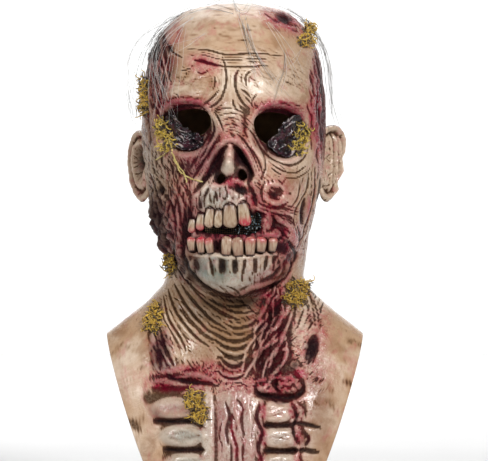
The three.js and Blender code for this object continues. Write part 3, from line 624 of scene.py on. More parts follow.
# The two small pale ovals on the wet lumps at the mouth's corner are painted highlights
LIPS = """
line 2.4 -2 12,166 17,176 20,187 dark 0.8 red 0.7
line 2.2 1.8 15,164 21,175 26,186 red 0.55
line 3.6 3 19,187 30,190 42,198 52,210 57,224 red 0.6
line 1.8 -2.2 18,190 29,197 38,207 50,217 dark 0.95 red 0.6
line 1.6 1.4 26,193 34,202 42,212 51,222 red 0.85
line 1.6 -1.5 40,215 50,220 56,232 50,244 dark 0.85 red 0.5
line 1.6 -1.8 24,192 26,200 24,210 dark 0.95
line 1.4 -2 33,193 36.5,201 33,210 dark 0.95
line 1.4 -2 31,215 37,218 44,213 42,206 dark 0.95
oval 29 202 5.2 8.5 12 6 2 red 0.8 wet 1 dark -0.9 plum -0.8
oval 37 212 5.4 5 0 5 2 red 0.9 wet 1 dark -0.9 plum -0.8
oval 30 213.5 3.4 3.2 0 3 2 red 0.9 wet 1 dark -0.8
oval 28 199 2.2 3.6 12 0 1 pale 0.8
oval 36 211 2.4 2 0 0 1 pale 0.8
oval 44 225 6.5 6.5 0 -1.8 2 plum 1 dark 0.75
oval 31 196 9 12 -20 0 1 red 0.8
oval 46 214 8 15 -25 0 1 red 0.8
oval 19 180 6 12 -15 0 1 red 0.7
oval -45 205 5 26 4 0 1 red 0.6 plum 0.5
oval 47 240 6 12 20 0 1 red 0.7
hatch 41 -12 181 25 12 88 60 9 0.8 -0.6 dark 0.3
hatch 42 -40 196 6 22 92 44 13 1 0.8 red 0.5 dark 0.33
hatch 43 16 178 7 14 62 30 10 0.9 0.8 red 0.7 dark 0.3
hatch 44 40 203 16 8 42 40 16 0.9 -0.7 red 0.6 dark 0.36
hatch 45 4 215 36 4 80 60 6 0.9 1.2 red 0.9 dark -0.3
"""
# Pits under the roots of the lower teeth: x, drop, half width and half height
JAW_PITS = (
    (-35, 241.5, 3.2, 6.5), (-21.5, 243, 1.6, 7), (-11.5, 241.5, 3.4, 6.5), (0, 241, 2.8, 7),
    (8, 242.5, 1.4, 8), (18.5, 241, 2.0, 6.5), (28, 239.5, 1.8, 6), (35.5, 238, 1.6, 5),
)
JAWBONE = """
oval -3 244 40 17 0 1.6 4 bone 1 dark -0.8 gore -0.9 red -0.9 plum -0.7
oval -8 258 28 10 0 0.8 2 bone 1 pale 0.7 gore -0.8 dark -0.8
oval -17 246 18 12 0 0 2 green 0.9
oval 14 252 18 8 0 0 2 green 0.45
oval 20 240 20 9 0 0 1 ochre 0.9
oval -35 240 7 10 0 0 1 ochre 0.7 dark 0.3
oval -11.5 243 8 10 0 0 1 green 0.8 dark 0.4
oval 16 244 12 12 0 0 1 pale 0.5 red 0.2
oval 28 251 12 6 -25 0 2 red 0.35
oval -38 236 6 10 0 0 1 plum 0.5
"""
JAW_FOLDS = """
line 1.7 1.6 -45,229 -34,232 -21,231 -6,234 12,234 26,231 40,231 pale 0.9 bone 0.6 dark -0.5
line 2.4 -2.2 -48,212 -47,232 -38,250 -22,264 0,271 dark 0.95 plum 0.4
line 1.7 1.5 -53,214 -52,234 -43,252 -27,266 plum 0.6 dark 0.4
line 1.5 -1.4 -57,216 -56,234 -48,251 -34,265 dark 0.9
line 2.2 1.8 43,228 46,238 41,249 30,257 14,262 0,270 red 0.6
line 2 -1.8 50,232 51,243 43,254 28,262 10,268 dark 0.75 red 0.5
line 1.4 -1.2 38,232 40,240 34,250 22,256 dark 0.7 red 0.4
hatch 51 0 245 38 12 88 40 8 0.7 -0.5 dark 0.15
hatch 52 42 243 8 14 118 50 14 1 0.9 red 0.6 dark 0.27
hatch 53 -46 240 6 18 72 36 16 1.1 0.8 plum 0.6 dark 0.36
"""
# The middle and the half sizes of the ring of the sore in the cheek
SORE = (37.5, 175)
SORE_RING = (9, 8.4)
# The two small pale ovals on the sore's ring are painted highlights
CHEEKS = """
oval 37.5 175 18 16 0 0 1 red 0.5
oval 37.5 175 7.4 6.8 0 -2.6 1 red 0.4 plum 0.1
oval 36 176.5 4 3 30 -1.4 1 plum 0.8 dark 0.8
oval 35 172.5 2.4 1.8 0 1.2 2 red 0.5 dark -0.8 plum -0.6 pale 0.5
oval 40 178 1.8 1.5 0 1 2 red 0.5 dark -0.6 pale 0.4
oval 34 165 15 6 0 0.6 1 pale 0.55 red 0.15
oval 45 166 10 5 20 0 1 red 0.3
oval 66 172 13 38 8 0 1 ochre 0.55
oval 60 158 13 20 12 0 2 wet 1 pale 0.6
oval 50 190 9 8 0 0 1 pale 0.5
oval -64 156 17 24 0 0 1 ochre 0.4 dark 0.25
oval -48 172 12 16 0 0 1 ochre 0.5 red 0.2
oval -70 204 11 34 -8 -1 2 dark 0.85 plum 0.6
oval -54 204 9 28 0 0 1 plum 0.7 dark 0.4
oval -67 172 3 4 0 -1.5 2 dark 0.9
banks 0.5
line 1.4 -1.2 21,183 30,188 40,188 50,182 red 0.8 dark 0.3
line 1.2 -1.1 20,187 33,192 50,197 red 0.5 dark 0.6
line 1 -0.7 26,185 24,174 28,163 dark 0.45
line 0.9 -0.8 68,154 66,172 56,190 54,205 dark 0.25
line 0.9 -0.8 74,150 73,175 66,200 61,220 dark 0.3
line 0.8 -0.7 60,162 58,178 50,190 dark 0.2
line 2 -2 65,178 63,190 62,204 dark 0.9 plum 0.8
line 1.4 1 68,176 67,190 65,204 red 0.9
line 1.5 -1.4 79,160 78,175 74,192 dark 0.8 plum 0.5
line 1.1 -1 58,205 60,216 56,228 dark 0.6
hatch 61 67 185 10 42 100 50 24 0.8 -0.35 dark 0.12 ochre 0.4
hatch 62 -63 160 17 26 78 130 16 0.7 0.6 fan 24 dark 0.15 ochre 0.5
hatch 63 -62 160 18 26 70 70 12 0.7 -0.7 fan 24 dark 0.4 ochre 0.5
hatch 64 -69 203 10 32 78 110 24 1.2 1.4 dark 0.36 plum 0.2
hatch 65 -69 203 10 34 78 70 20 1 -1.2 dark 0.6
hatch 66 -52 195 9 30 84 70 18 1 1 red 0.5 dark 0.3
hatch 67 -46 174 12 14 95 50 12 0.9 0.7 red 0.4 ochre 0.4 dark 0.21
hatch 68 40 192 16 7 12 34 18 0.8 -0.6 red 0.5 dark 0.3
hatch 69 32 168 14 9 40 40 8 0.7 -0.4 red 0.35 dark 0.15
oval 62 160 15 32 8 0 2 pale 0.1 dark -0.9 gore -1 plum -0.9
oval 50 150 20 10 0 0 1 pale 0.6 dark -0.4
oval 50 72 20 22 0 0 1 pale 0.7 ochre -0.6
oval 62 288 15 28 0 0 1 pale 0.6 dark -0.9 plum -0.5
"""
# The dark in the two ovals just under the chin is a painted shadow of the chin
NECK = """
oval 0 290 36 26 0 0 2 ochre 1 dark 0.3
oval -34 268 22 12 20 0 2 ochre 0.9 dark 0.3
oval -4 275 34 7 0 0 2 ochre 1 dark 0.6
oval -6 310 26 16 0 0 1 ochre 1 dark 0.15
oval -38 318 20 20 0 1.2 1 pale 0.4 ochre 0.3
oval -69 318 8 16 8 -1.2 2 dark 0.75 plum 0.5
oval -64 334 13 7 0 0 2 plum 0.8
oval -22 333 12 6 10 0 1 red 0.45
oval -1 331 14 9 0 -2.6 2 dark 0.3 ochre 0.5
oval 36 282 7 18 15 -4 2 dark 1 red 0.4
oval 34 266 14 5 -10 1.5 2 red 0.9
oval 33 316 14 28 20 -3 2 dark 0.62 red 0.5
oval 30 335 6 7 0 -2.5 2 dark 1
oval 71 318 5.6 13 16 -4 2 dark 0.95 plum 0.5
oval 78 304 8 14 0 0 1 red 0.5
oval 60 296 12 20 10 0.8 1 pale 0.5
oval 60 340 7 5 20 1.5 2 red 1
oval 78 335 9 20 0 0 1 pale 0.3 red 0.25
banks 1.1
line 1.64 -0.98 -56,258 -46,276 -30,296 -12,310 dark 0.32 ochre 0.9
line 1.64 -0.98 -50,258 -38,274 -20,292 -2,302 dark 0.34 ochre 0.9
line 1.56 -0.88 -43,258 -31,270 -14,284 6,292 dark 0.32 ochre 0.9
line 1.46 -0.78 -36,263 -22,273 -4,279 14,277 dark 0.3 ochre 0.9
line 1.3 -0.68 -28,271 -10,280 6,285 20,282 dark 0.24 ochre 0.9
line 1.56 -0.88 -62,262 -54,284 -38,305 -22,317 dark 0.28 ochre 0.9
line 1.3 -0.59 -66,268 -61,290 -50,308 -44,322 dark 0.2 ochre 0.9
line 1.73 -0.88 -72,300 -64,318 -56,334 dark 0.32 ochre 0.9
line 1.6 1.6 -68,292 -60,310 -52,326 pale 0.4
line 1.9 -1.27 -24,299 -10,309 4,311 17,304 dark 0.32 ochre 0.9
line 1.81 -1.27 -20,308 -8,317 4,318 14,312 dark 0.38 ochre 0.9
line 1.73 -1.17 -17,316 -6,325 4,326 12,320 dark 0.38 ochre 0.9
line 1.56 -0.88 -14,325 -6,333 2,334 9,329 dark 0.36 ochre 0.9
line 1.56 -0.88 -14,292 0,299 14,296 20,290 dark 0.28 ochre 0.9
line 1.38 -0.88 -16,338 -9,344 2,345 11,340 dark 0.4 ochre 0.9
line 1.21 -0.49 56,256 64,262 72,275 78,292 dark 0.18 ochre 0.9
line 1.03 -0.39 66,262 72,282 74,300 dark 0.16 ochre 0.9
banks 0
line 4 0.8 -76,341 -55,337 -34,337 -16,343 8,337 20,330 red 0.6
line 3.4 2.6 14,326 27,318 40,306 50,300 red 0.75 pale 0.2
line 2.4 2.4 52,276 45,289 36,302 red 0.3 pale 0.5 dark -0.5
line 2.2 2 25,266 31,276 23,290 34,299 red 0.7
line 2 2 50,300 44,312 46,326 38,338 red 0.55 dark 0.3
line 2.4 1.6 46,268 56,262 64,254 red 0.5
oval 27 353 7 5 0 3.2 2 pale 0.4 red 0.3 dark -0.5
oval 48 349 9.5 9 0 4.5 2 red 1 wet 0.8 dark -0.5
oval 40 326 6 12 25 0 1 red 0.7
oval 26 312 5 12 20 0 1 red 0.6
oval 46 344 4 4 0 1.5 2 pale 0.5
oval 55 333 4 4 0 1.5 2 dark 0.8
line 3 -4 19,350 21,359 34,362 50,363 62,357 62,346 dark 1 red 0.5
line 2.2 -2.8 38,340 37,352 42,358 dark 0.95
line 2 -1.5 34,363 40,368 50,366 dark 0.8
hatch 71 -20 286 38 24 40 90 26 0.9 -0.5 fan 9 bend 0.12 dark 0.1 ochre 0.8
hatch 72 -40 312 24 24 48 36 14 0.8 -0.3 dark 0.06 ochre 0.5
hatch 80 -2 316 18 16 4 30 16 0.9 -0.5 fan 9 bend 0.2 dark 0.15 ochre 0.7
hatch 73 33 314 13 30 116 20 40 2.1 4 fan 16 bend 0.22 red 0.2 dark -0.9 plum -0.8 pale 0.9 wet 0.8
hatch 74 33 316 15 30 110 40 16 0.9 -1.4 fan 24 dark 0.7
hatch 75 68 285 12 26 118 40 16 0.9 -0.5 dark 0.21
hatch 76 -68 318 9 18 75 40 12 1.1 1 plum 0.4 dark 0.36
hatch 77 40 350 20 10 20 36 10 1.5 2.4 fan 50 red 0.8 dark -0.5 wet 0.5
hatch 78 34 280 9 18 105 30 12 1.4 2.6 red 0.75 dark -0.5 wet 0.4
hatch 79 70 318 6 13 100 14 9 0.9 1.4 plum 0.5 dark 0.36
"""
# Ribs: x, drop, half width, half height and how much flesh is left on them
RIBS = (
    (-57, 372, 19, 10, 0.9), (-47, 397.5, 20, 11, 0.1), (-45, 424, 18, 11.5, 0), (-43, 449, 17, 11, 0),
    (-41, 472, 15, 10, 0), (39, 376, 14, 10, 0.7), (42, 399, 16, 10.5, 0.2), (41, 424, 17, 11, 0.15),
    (40, 449, 16, 11, 0.1), (38, 472, 15, 10, 0.1),
)
CHEST = """
oval -1 400 27 46 0 0.8 4 pale 0.55 bone 0.75 gore -0.4
oval -25 402 6 46 0 3 2 bone 0.8 pale 0.6 gore -0.7
oval -12 385 7 22 0 0 1 plum 0.35
oval -66 352 12 4 0 0 2 red 1 wet 0.6
oval -58 376 14 6 0 0 1 ochre 0.6 red 0.4
oval -72 378 6 8 0 0 1 red 0.6 dark 0.4
oval 76 372 13 40 0 1.2 1 ochre 1 dark 0.24 red 0.1
oval -14 392 9 34 0 0 1 red 0.35
oval 18 352 34 12 0 0 1 red 0.4
oval 12 395 16 44 0 0 1 red 0.25 plum 0.2
oval 58 385 9 34 0 0 1 red 0.5
oval 46 360 18 8 0 0 1 red 0.6
oval 0 352 16 8 0 0.6 1 pale 0.5
line 2.6 -2.6 -79,344 -60,343 -42,347 -20,350 red 1 dark 0.5
line 3 -2 -77,355 -55,355 -34,352 red 1 dark 0.3
line 1.8 -1.6 -64,340 -56,346 -40,349 -20,351 dark 1
line 1.6 1.5 -78,349 -66,347 -56,351 red 0.8 wet 0.6
line 1.8 1.8 -52,341 -38,340 -24,345 -18,350 red 0.6
line 2.2 -1.2 -9,366 -5,380 -8,394 -6,408 plum 0.6 dark 0.2
line 1.6 -0.9 -4,402 -3,416 -5,432 plum 0.5 dark 0.1
line 1.8 -1.1 -4,438 -1,452 -3,470 plum 0.6 dark 0.2
line 2 -1 -2,376 -3,392 1,410 0,440 red 0.85
line 4.5 1.6 14,370 14,395 14,422 13,470 pale 0.5
line 1.9 -2 23,368 20,381 25,395 21,409 26,424 plum 0.7 dark 0.6 red 0.5
line 1.9 -2 25,428 22,442 26,456 24,470 plum 0.7 dark 0.6 red 0.4
line 1.6 -0.9 2,364 7,372 6,384 8,398 plum 0.5
line 1.2 -0.7 -3,378 1,386 1,396 plum 0.4
line 1.2 -0.7 2,404 3,418 1,436 red 0.5
line 1.4 -0.8 9,402 7,416 9,440 red 0.4 plum 0.3
line 2.4 2.2 54,366 60,376 56,388 61,402 57,416 61,440 red 0.75
line 1.8 -2.2 52,370 57,380 53,392 58,406 dark 0.9 red 0.4
line 1.8 -2 50,386 64,387 80,391 dark 0.85
line 1.8 -2 46,413 62,411 78,413 dark 0.8
line 1.6 -1.4 62,394 68,400 64,408 dark 0.7 red 0.8
hatch 81 2 400 18 42 90 12 24 0.8 -0.3 dark 0.05 plum 0.3
hatch 86 8 400 16 42 86 14 24 1.8 0.7 red 0.45
hatch 82 -50 346 26 6 3 44 14 1 1 red 0.7 dark 0.24
hatch 83 58 388 6 26 80 40 8 1.1 1.2 fan 40 red 0.7 dark 0.3
hatch 84 76 350 8 30 100 14 8 0.7 -0.3 fan 60 dark 0.1
hatch 85 24 395 4 30 90 30 10 1 0.9 red 0.6 dark 0.3
"""


def tooth_beds(surface):
    """The dark line in the gum round the root of each tooth."""
    for teeth, up, foot, width, rise in ((UPPER_TEETH, 1, 0.2, 0.9, -1.2), (LOWER_TEETH, -1, 0.3, 1.0, -1.3)):
        arch = ((-0.62, foot), (-0.5, -0.36), (0, -0.6), (0.5, -0.36), (0.62, foot))
        for x, drop, wide, high, *_ in teeth:
            bed = [(x + across * wide, drop + up * down * high) for across, down in arch]
            stroke(surface, bed, width, rise, taper=0.1, dark=0.9)


def jaw_pits(surface):
    """The pits, darkest in the middle of the chin, each with a pale bank beside it."""
    for x, drop, wide, high in JAW_PITS:
        dark = 0.95 if abs(x + 6) < 7 else 0.5
        blob(surface, x, drop, wide, high, 0.4 * x + 9 * math.sin(x), -2.4, 1, dark=dark, ochre=0.6)
        bank = [(x - 1.3 * wide, drop - high), (x - 1.5 * wide, drop), (x - 1.1 * wide, drop + high)]
        stroke(surface, bank, 1.2, 1.0, pale=0.5)


def sore(surface):
    """A raised ring with six short red rays."""
    x, drop = SORE
    wide, high = SORE_RING
    ring = [(x + wide * math.cos(a), drop + high * math.sin(a)) for a in np.linspace(0, 2 * math.pi, 13)]
    stroke(surface, ring, 3.0, 1.8, taper=0, red=0.5)
    for k in range(6):
        aim = 1.05 * k
        reaches = (9.5, 12, 15 + k % 3 * 2)
        ray = [(x + reach * math.cos(aim), drop + 0.92 * reach * math.sin(aim)) for reach in reaches]
        stroke(surface, ray, 1.0, -0.5, red=0.7)


def ribs(surface):
    for x, drop, wide, high, flesh in RIBS:
        blob(surface, x, drop, wide, high, 0, 5.0, 3, bone=1 - flesh, pale=0.35, red=0.25 * flesh, dark=-0.3,
             gore=-0.6)
        # A dark groove under each rib, its dark a painted shade below the rib
        under = [(x - wide, drop + high + 2), (x, drop + high + 3), (x + wide, drop + high + 2)]
        stroke(surface, under, 2.2, -3.0, taper=0.15, dark=1, red=0.3)
        hatch(surface, round(drop + x), x, drop, 0.8 * wide, 0.8 * high, 0, 14, 12, 0.8, -0.35, dark=0.15,
              ochre=0.6)
        if x > 0:
            for end in (x - wide, x + wide):
                blob(surface, end, drop, 4, high, 0, 0, 2, red=0.9)
        else:
            blob(surface, x, drop, wide, high, 0, 0, 2, green=0.5)


# Every feature in the order in which it is worked
FEATURES = (GORE, CALM, FOREHEAD, TEMPLES, EYES, NOSE, GUMS, tooth_beds, LIPS, JAWBONE, jaw_pits, JAW_FOLDS,
            sore, CHEEKS, NECK, ribs, CHEST)


# Openings through the face, as outlines of x and drop as photographed. The lining takes every third row and
# column, and is open wider by so many millimetres. Points of the skin steeper than STEEP move sideways only.
HOLES = {
    "eye_right": "-57,101 -48,97.5 -36,97 -27,99 -22.5,105 -23,112 -29,119 -38,123 -48,120 -56,111",
    "eye_left": "17.5,109 21,103 31,100 43,100.5 52,104 56,110 54,120 46,128 34,130 25,126 19,118",
    "nostril_right": "-17,162 -14.5,157.5 -11,157 -9,161 -11,165 -15,166",
    "nostril_left": "3,156 6,152 10,155 11.5,160 8,163 4,161",
    "mouth": "-28,205.5 -12,206.5 2,206 12,203 16,197 21,192 25,197 24,205 17,211 4,213 -12,212.5 "
             "-27,211",
}
LINING_STEP = 3
WIDER = 0.8
STEEP = 0.2


def nearest_on(outline, places):
    """The nearest points of a closed outline to places, and whether each place is inside it."""
    a = np.array(outline, float)
    b = np.roll(a, -1, axis=0)
    along = b - a
    t = np.clip(((places[:, None] - a) * along).sum(-1) / (along ** 2).sum(1), 0, 1)
    points = a + along * t[..., None]
    gap = np.linalg.norm(places[:, None] - points, axis=-1)
    index = np.arange(len(places))
    x, y = places[:, :1], places[:, 1:]
    crosses = (a[:, 1] > y) != (b[:, 1] > y)
    with np.errstate(divide="ignore", invalid="ignore"):
        meets = a[:, 0] + (y - a[:, 1]) * along[:, 0] / along[:, 1]
    inside = (crosses & (x < meets)).sum(1) % 2 == 1
    return points[index, gap.argmin(1)], inside


def round_outline(text):
    """The outline on a smooth closed curve through its points."""
    p = path(text)
    count = 4 * len(p)
    return smooth_path(p[-2:] + p + p[:3], count + 17)[8:8 + count]


OUTLINES = [round_outline(text) for text in HOLES.values()]


def cut(grid_x, grid_drop, front, outlines):
    """Cells of a grid whose middle lies in an opening, and the moves of their corners onto its edge."""
    rows, columns = grid_x.shape
    corners = [(0, 0), (0, 1), (1, 1), (1, 0)]
    middle_x = sum(np.roll(grid_x, -c, 1)[r:rows - 1 + r] for r, c in corners) / 4
    middle_drop = sum(np.roll(grid_drop, -c, 1)[r:rows - 1 + r] for r, c in corners) / 4
    open_cells = np.zeros((rows - 1, columns), bool)
    moves = np.zeros((rows, columns, 2))
    for outline in outlines:
        low, high = outline.min(0) - 3, outline.max(0) + 3
        near = (middle_x > low[0]) & (middle_x < high[0]) & (middle_drop > low[1]) & (middle_drop < high[1])
        near &= front[:-1] > 0.5
        r, c = np.nonzero(near)
        _, inside = nearest_on(outline, np.stack([middle_x[r, c], middle_drop[r, c]], -1))
        here = np.zeros_like(open_cells)
        here[r[inside], c[inside]] = True
        open_cells |= here
        held = corner_count(here)
        r, c = np.nonzero((held > 0) & (held < 4))
        place = np.stack([grid_x[r, c], grid_drop[r, c]], -1)
        edge, _ = nearest_on(outline, place)
        moves[r, c] = edge - place
    return open_cells, moves


def corner_count(cells):
    """How many marked cells meet at each corner of the grid."""
    rows, columns = cells.shape
    count = np.zeros((rows + 1, columns), int)
    for r in (0, 1):
        for c in (0, 1):
            count[r:rows + r] += np.roll(cells, c, 1)
    return count


def blurred(values, reach):
    """Values averaged over a square of the grid, round the columns and held at the first and last rows."""
    out = values
    for axis in (0, 1):
        pad = [(reach, reach), (0, 0)] if axis == 0 else [(0, 0), (reach, reach)]
        padded = np.pad(out, pad, mode="edge" if axis == 0 else "wrap")
        total = np.cumsum(padded, axis)
        total = np.concatenate([np.zeros_like(np.take(total, [0], axis)), total], axis)
        size = 2 * reach + 1
        length = out.shape[axis]
        out = (np.take(total, range(size, size + length), axis) - np.take(total, range(length), axis)) / size
    return out


def ridges_over(points, scale, seed=0.0):
    """Crease noise from 0 to 1, highest along thin winding lines."""
    flat = points.reshape(-1, 3) / scale + seed
    made = [1 - abs(noise.noise(p)) * 2.2 for p in flat.tolist()]
    return np.clip(np.array(made).reshape(points.shape[:-1]), 0, 1)


def make_mesh(name, points, faces, masks=None):
    """A mesh object from points in millimetres and a list of arrays of faces of three or four corners."""
    mesh = bpy.data.meshes.new(name)
    faces = [np.asarray(block, np.int64) for block in faces if len(block)]
    sizes = np.concatenate([np.full(len(block), block.shape[1]) for block in faces])
    loops = np.concatenate([block.ravel() for block in faces])
    mesh.vertices.add(len(points))
    mesh.vertices.foreach_set("co", (np.asarray(points, float) * MM).ravel())
    mesh.loops.add(len(loops))
    mesh.loops.foreach_set("vertex_index", loops)
    mesh.polygons.add(len(sizes))
    mesh.polygons.foreach_set("loop_start", np.concatenate([[0], np.cumsum(sizes)[:-1]]))
    mesh.polygons.foreach_set("loop_total", sizes)
    for mask, values in (masks or {}).items():
        layer = mesh.attributes.new(mask, "FLOAT", "POINT").data
        layer.foreach_set("value", np.asarray(values, float).ravel())
    mesh.update(calc_edges=True)
    mesh.validate()
    mesh.polygons.foreach_set("use_smooth", [True] * len(mesh.polygons))
    made = bpy.data.objects.new(name, mesh)
    bpy.context.collection.objects.link(made)
    return made


def grid_faces(rows, columns, keep=None):
    """Faces of a grid that closes round its columns, its outside to the left of a row's run downwards."""
    r, c = np.nonzero(np.ones((rows - 1, columns), bool) if keep is None else keep)
    nxt = (c + 1) % columns
    return np.stack([r * columns + c, (r + 1) * columns + c, (r + 1) * columns + nxt, r * columns + nxt], -1)


def fan(tip, start, columns):
    """Triangles from a tip to the ring of points that begins at start."""
    ring = start + np.arange(columns)
    return np.stack([np.full(columns, tip), ring, np.roll(ring, -1)], -1)


def flipped(blocks):
    return [block[:, ::-1] for block in blocks]


def tube_faces(rings, columns):
    """Faces of a closed tube whose two tips come after its rings."""
    tip = rings * columns
    return [grid_faces(rings, columns), fan(tip, 0, columns), fan(tip + 1, tip - columns, columns)[:, ::-1]]


def rim_edges(keep):
    """Edges of a grid between a kept cell and an open one or the hem, ordered as their kept cell runs."""
    rows, columns = keep.shape
    edges = []
    for r, c in zip(*np.nonzero(keep)):
        nxt = (c + 1) % columns
        ring = [r * columns + c, (r + 1) * columns + c, (r + 1) * columns + nxt, r * columns + nxt]
        shut = [keep[r, c - 1], r < rows - 1 and keep[r + 1, c], keep[r, nxt], r == 0 or keep[r - 1, c]]
        edges += [(ring[k], ring[(k + 1) % 4]) for k in range(4) if not shut[k]]
    return np.array(edges)


def paint_skin(surface):
    """Blotches, creases and grain that run over the whole skin, the dark wash in every hollow (partly paint
    and partly painted shade), a painted shadow on the undersides and painted highlights on the ridges.
    """
    at = surface.base
    raised = surface.rise
    bone, smooth = surface.mask("bone"), surface.mask("smooth")
    broad = noise_over(at, 34, 3)
    mottle = noise_over(at, 13, 4, seed=7.0)
    crease = ridges_over(at, 9, seed=3.0)
    crumple = ridges_over(at + 4 * mottle[..., None], 4.6, seed=11.0)
    gore = surface.mask("gore")
    gore *= 0.75 + 0.5 * smoothstep(-0.4, 0.5, mottle)
    calm = (1 - 0.75 * bone) * (1 - smooth)
    creases = 0.5 * smoothstep(0.8, 1, crease) + 0.3 * smoothstep(0.7, 1, crumple)
    raised += calm * (0.3 + 0.8 * gore) * (0.25 * mottle - creases)
    raised += 0.55 * broad * (1 - bone)
    behind = 1 - surface.front
    raised += behind * (0.35 * mottle - 0.5 * smoothstep(0.7, 1, ridges_over(at, 30, seed=5.0)))
    surface.at_least("ochre", 0.8 * smoothstep(0.1, 0.6, broad))
    surface.at_least("plum", 0.3 * behind * smoothstep(0.1, 0.6, -broad))
    surface.at_least("red", 0.3 * smoothstep(0.25, 0.7, mottle))
    # How far each point lies below its neighbours: the dark wash in the hollows, partly the mask's paint and
    # partly painted shade
    fine, near, wide = (blurred(raised, reach) - raised for reach in (1, 3, 8))
    hollow = np.clip(fine / 0.6, 0, 0.5) + np.clip(near / 1.3, 0, 0.7) + np.clip(wide / 4, 0, 0.5)
    hollow *= 0.15 + 0.85 * surface.front
    # A painted shadow on the skin that faces downwards, under the chin and jaw
    under = surface.front * smoothstep(0.15, 0.65, -surface.normal[..., 2])
    surface.masks["hollow"] = hollow + 0.45 * under * (1 - bone)
    surface.at_least("smooth", behind)
    # Painted highlights on the raised ridges
    surface.masks["peak"] = np.clip(-near / 0.9, 0, 1)


def build_surface():
    surface = Surface()
    open_cells, moves = cut(surface.x, surface.drop, surface.front, OUTLINES)
    scale = (CAMERA_DISTANCE + surface.base[..., 1]) / CAMERA_DISTANCE
    dx, dz = moves[..., 0] * scale, -moves[..., 1] * scale
    n = surface.normal
    steep = np.abs(n[..., 1]) < STEEP
    dy = np.where(steep, 0, -(n[..., 0] * dx + n[..., 2] * dz) / np.where(steep, 1, n[..., 1]))
    surface.base += np.stack([dx, dy, dz], -1)
    surface.x, surface.drop = seen(surface.base)
    for feature in FEATURES:
        if callable(feature):
            feature(surface)
        else:
            carve(surface, feature)
    paint_skin(surface)
    surface.keep = ~open_cells
    return surface


MASKS = ("dark", "red", "plum", "ochre", "pale", "bone", "green", "wet", "gore", "hollow", "peak", "smooth")
# How deep the rings of an opening's rim lie, in shares of the wall
RIM_DEPTHS = (0.35, 1.0)


def skin_mesh(surface):
    """The skin, with the rims of its openings and hem."""
    rows, columns = surface.angle.shape
    skin = surface.skin(surface.rise).reshape(-1, 3)
    masks = {name: np.clip(surface.mask(name), 0, 1).ravel() for name in MASKS}
    crown = skin[:columns].mean(0)
    crown[2] = WALL
    points = [skin, crown[None]]
    values = {name: [layer, [0]] for name, layer in masks.items()}
    blocks = [grid_faces(rows, columns, surface.keep), fan(rows * columns, 0, columns)]
    outer = rim_edges(surface.keep)
    used, place = np.unique(outer, return_inverse=True)
    place = place.reshape(outer.shape) + rows * columns + 1
    for k, share in enumerate(RIM_DEPTHS):
        points.append(skin[used] - surface.normal.reshape(-1, 3)[used] * (WALL * share))
        for name in values:
            values[name].append(masks[name][used])
        own = place + k * len(used)
        blocks.append(np.stack([outer[:, 1], outer[:, 0], own[:, 0], own[:, 1]], -1))
        outer = own
    merged = {name: np.concatenate(parts) for name, parts in values.items()}
    return make_mesh("mask_shell_looks", np.concatenate(points), blocks, merged)


def lining_mesh(surface):
    """The back of the latex, on a coarser grid, open a little wider than the skin."""
    rows, columns = surface.angle.shape
    chosen = np.ix_(np.r_[np.arange(0, rows - 1, LINING_STEP), rows - 1], np.arange(0, columns, LINING_STEP))
    low = surface.rise
    for shift in (1, 2, 3):
        low = np.minimum(low, np.minimum(np.roll(surface.rise, shift, 1), np.roll(surface.rise, -shift, 1)))
    back = (surface.skin(np.minimum(low, 0) * 0.9) - surface.normal * WALL)[chosen]
    wider = [outline + WIDER * unit(outline - outline.mean(0)) for outline in OUTLINES]
    open_cells, moves = cut(*seen(back), surface.front[chosen], wider)
    back[..., 0] += moves[..., 0]
    back[..., 2] -= moves[..., 1]
    lined, around = back.shape[:2]
    blocks = flipped([grid_faces(lined, around, ~open_cells), fan(lined * around, 0, around)])
    return make_mesh("mask_lining", np.concatenate([back.reshape(-1, 3), back[0].mean(0)[None]]), blocks)


# Colours, as linear red, green and blue
TAN = (0.5, 0.32, 0.195)
CREAM = (0.7, 0.55, 0.42)
OCHRE = (0.29, 0.145, 0.065)
# UMBER, and PLUM and the black further down, fill the deep hollows with a wash that is partly paint and partly
# painted shade
UMBER = (0.075, 0.035, 0.016)
BLOOD = (0.17, 0.002, 0.018)
ROSE = (0.42, 0.013, 0.055)
GLAZE = (0.86, 0.3, 0.34)
PLUM = (0.07, 0.014, 0.024)
# Black for the dark paint and for painted shade
BLACK_PAINT_AND_SHADE = (0.011, 0.008, 0.008)
BONE = (0.46, 0.42, 0.36)
VERDIGRIS = (0.2, 0.23, 0.18)
BONE_STAIN = (0.2, 0.12, 0.065)
# Colours of the painted highlights on the raised ridges
HIGHLIGHT_OCHRE = (0.42, 0.24, 0.12)
HIGHLIGHT_RED = (0.72, 0.46, 0.4)
# The skin's paint is deepened, then lifted, most in blue
DEEPEN = 1.18
LIFT = (1.12, 1.2, 1.28)


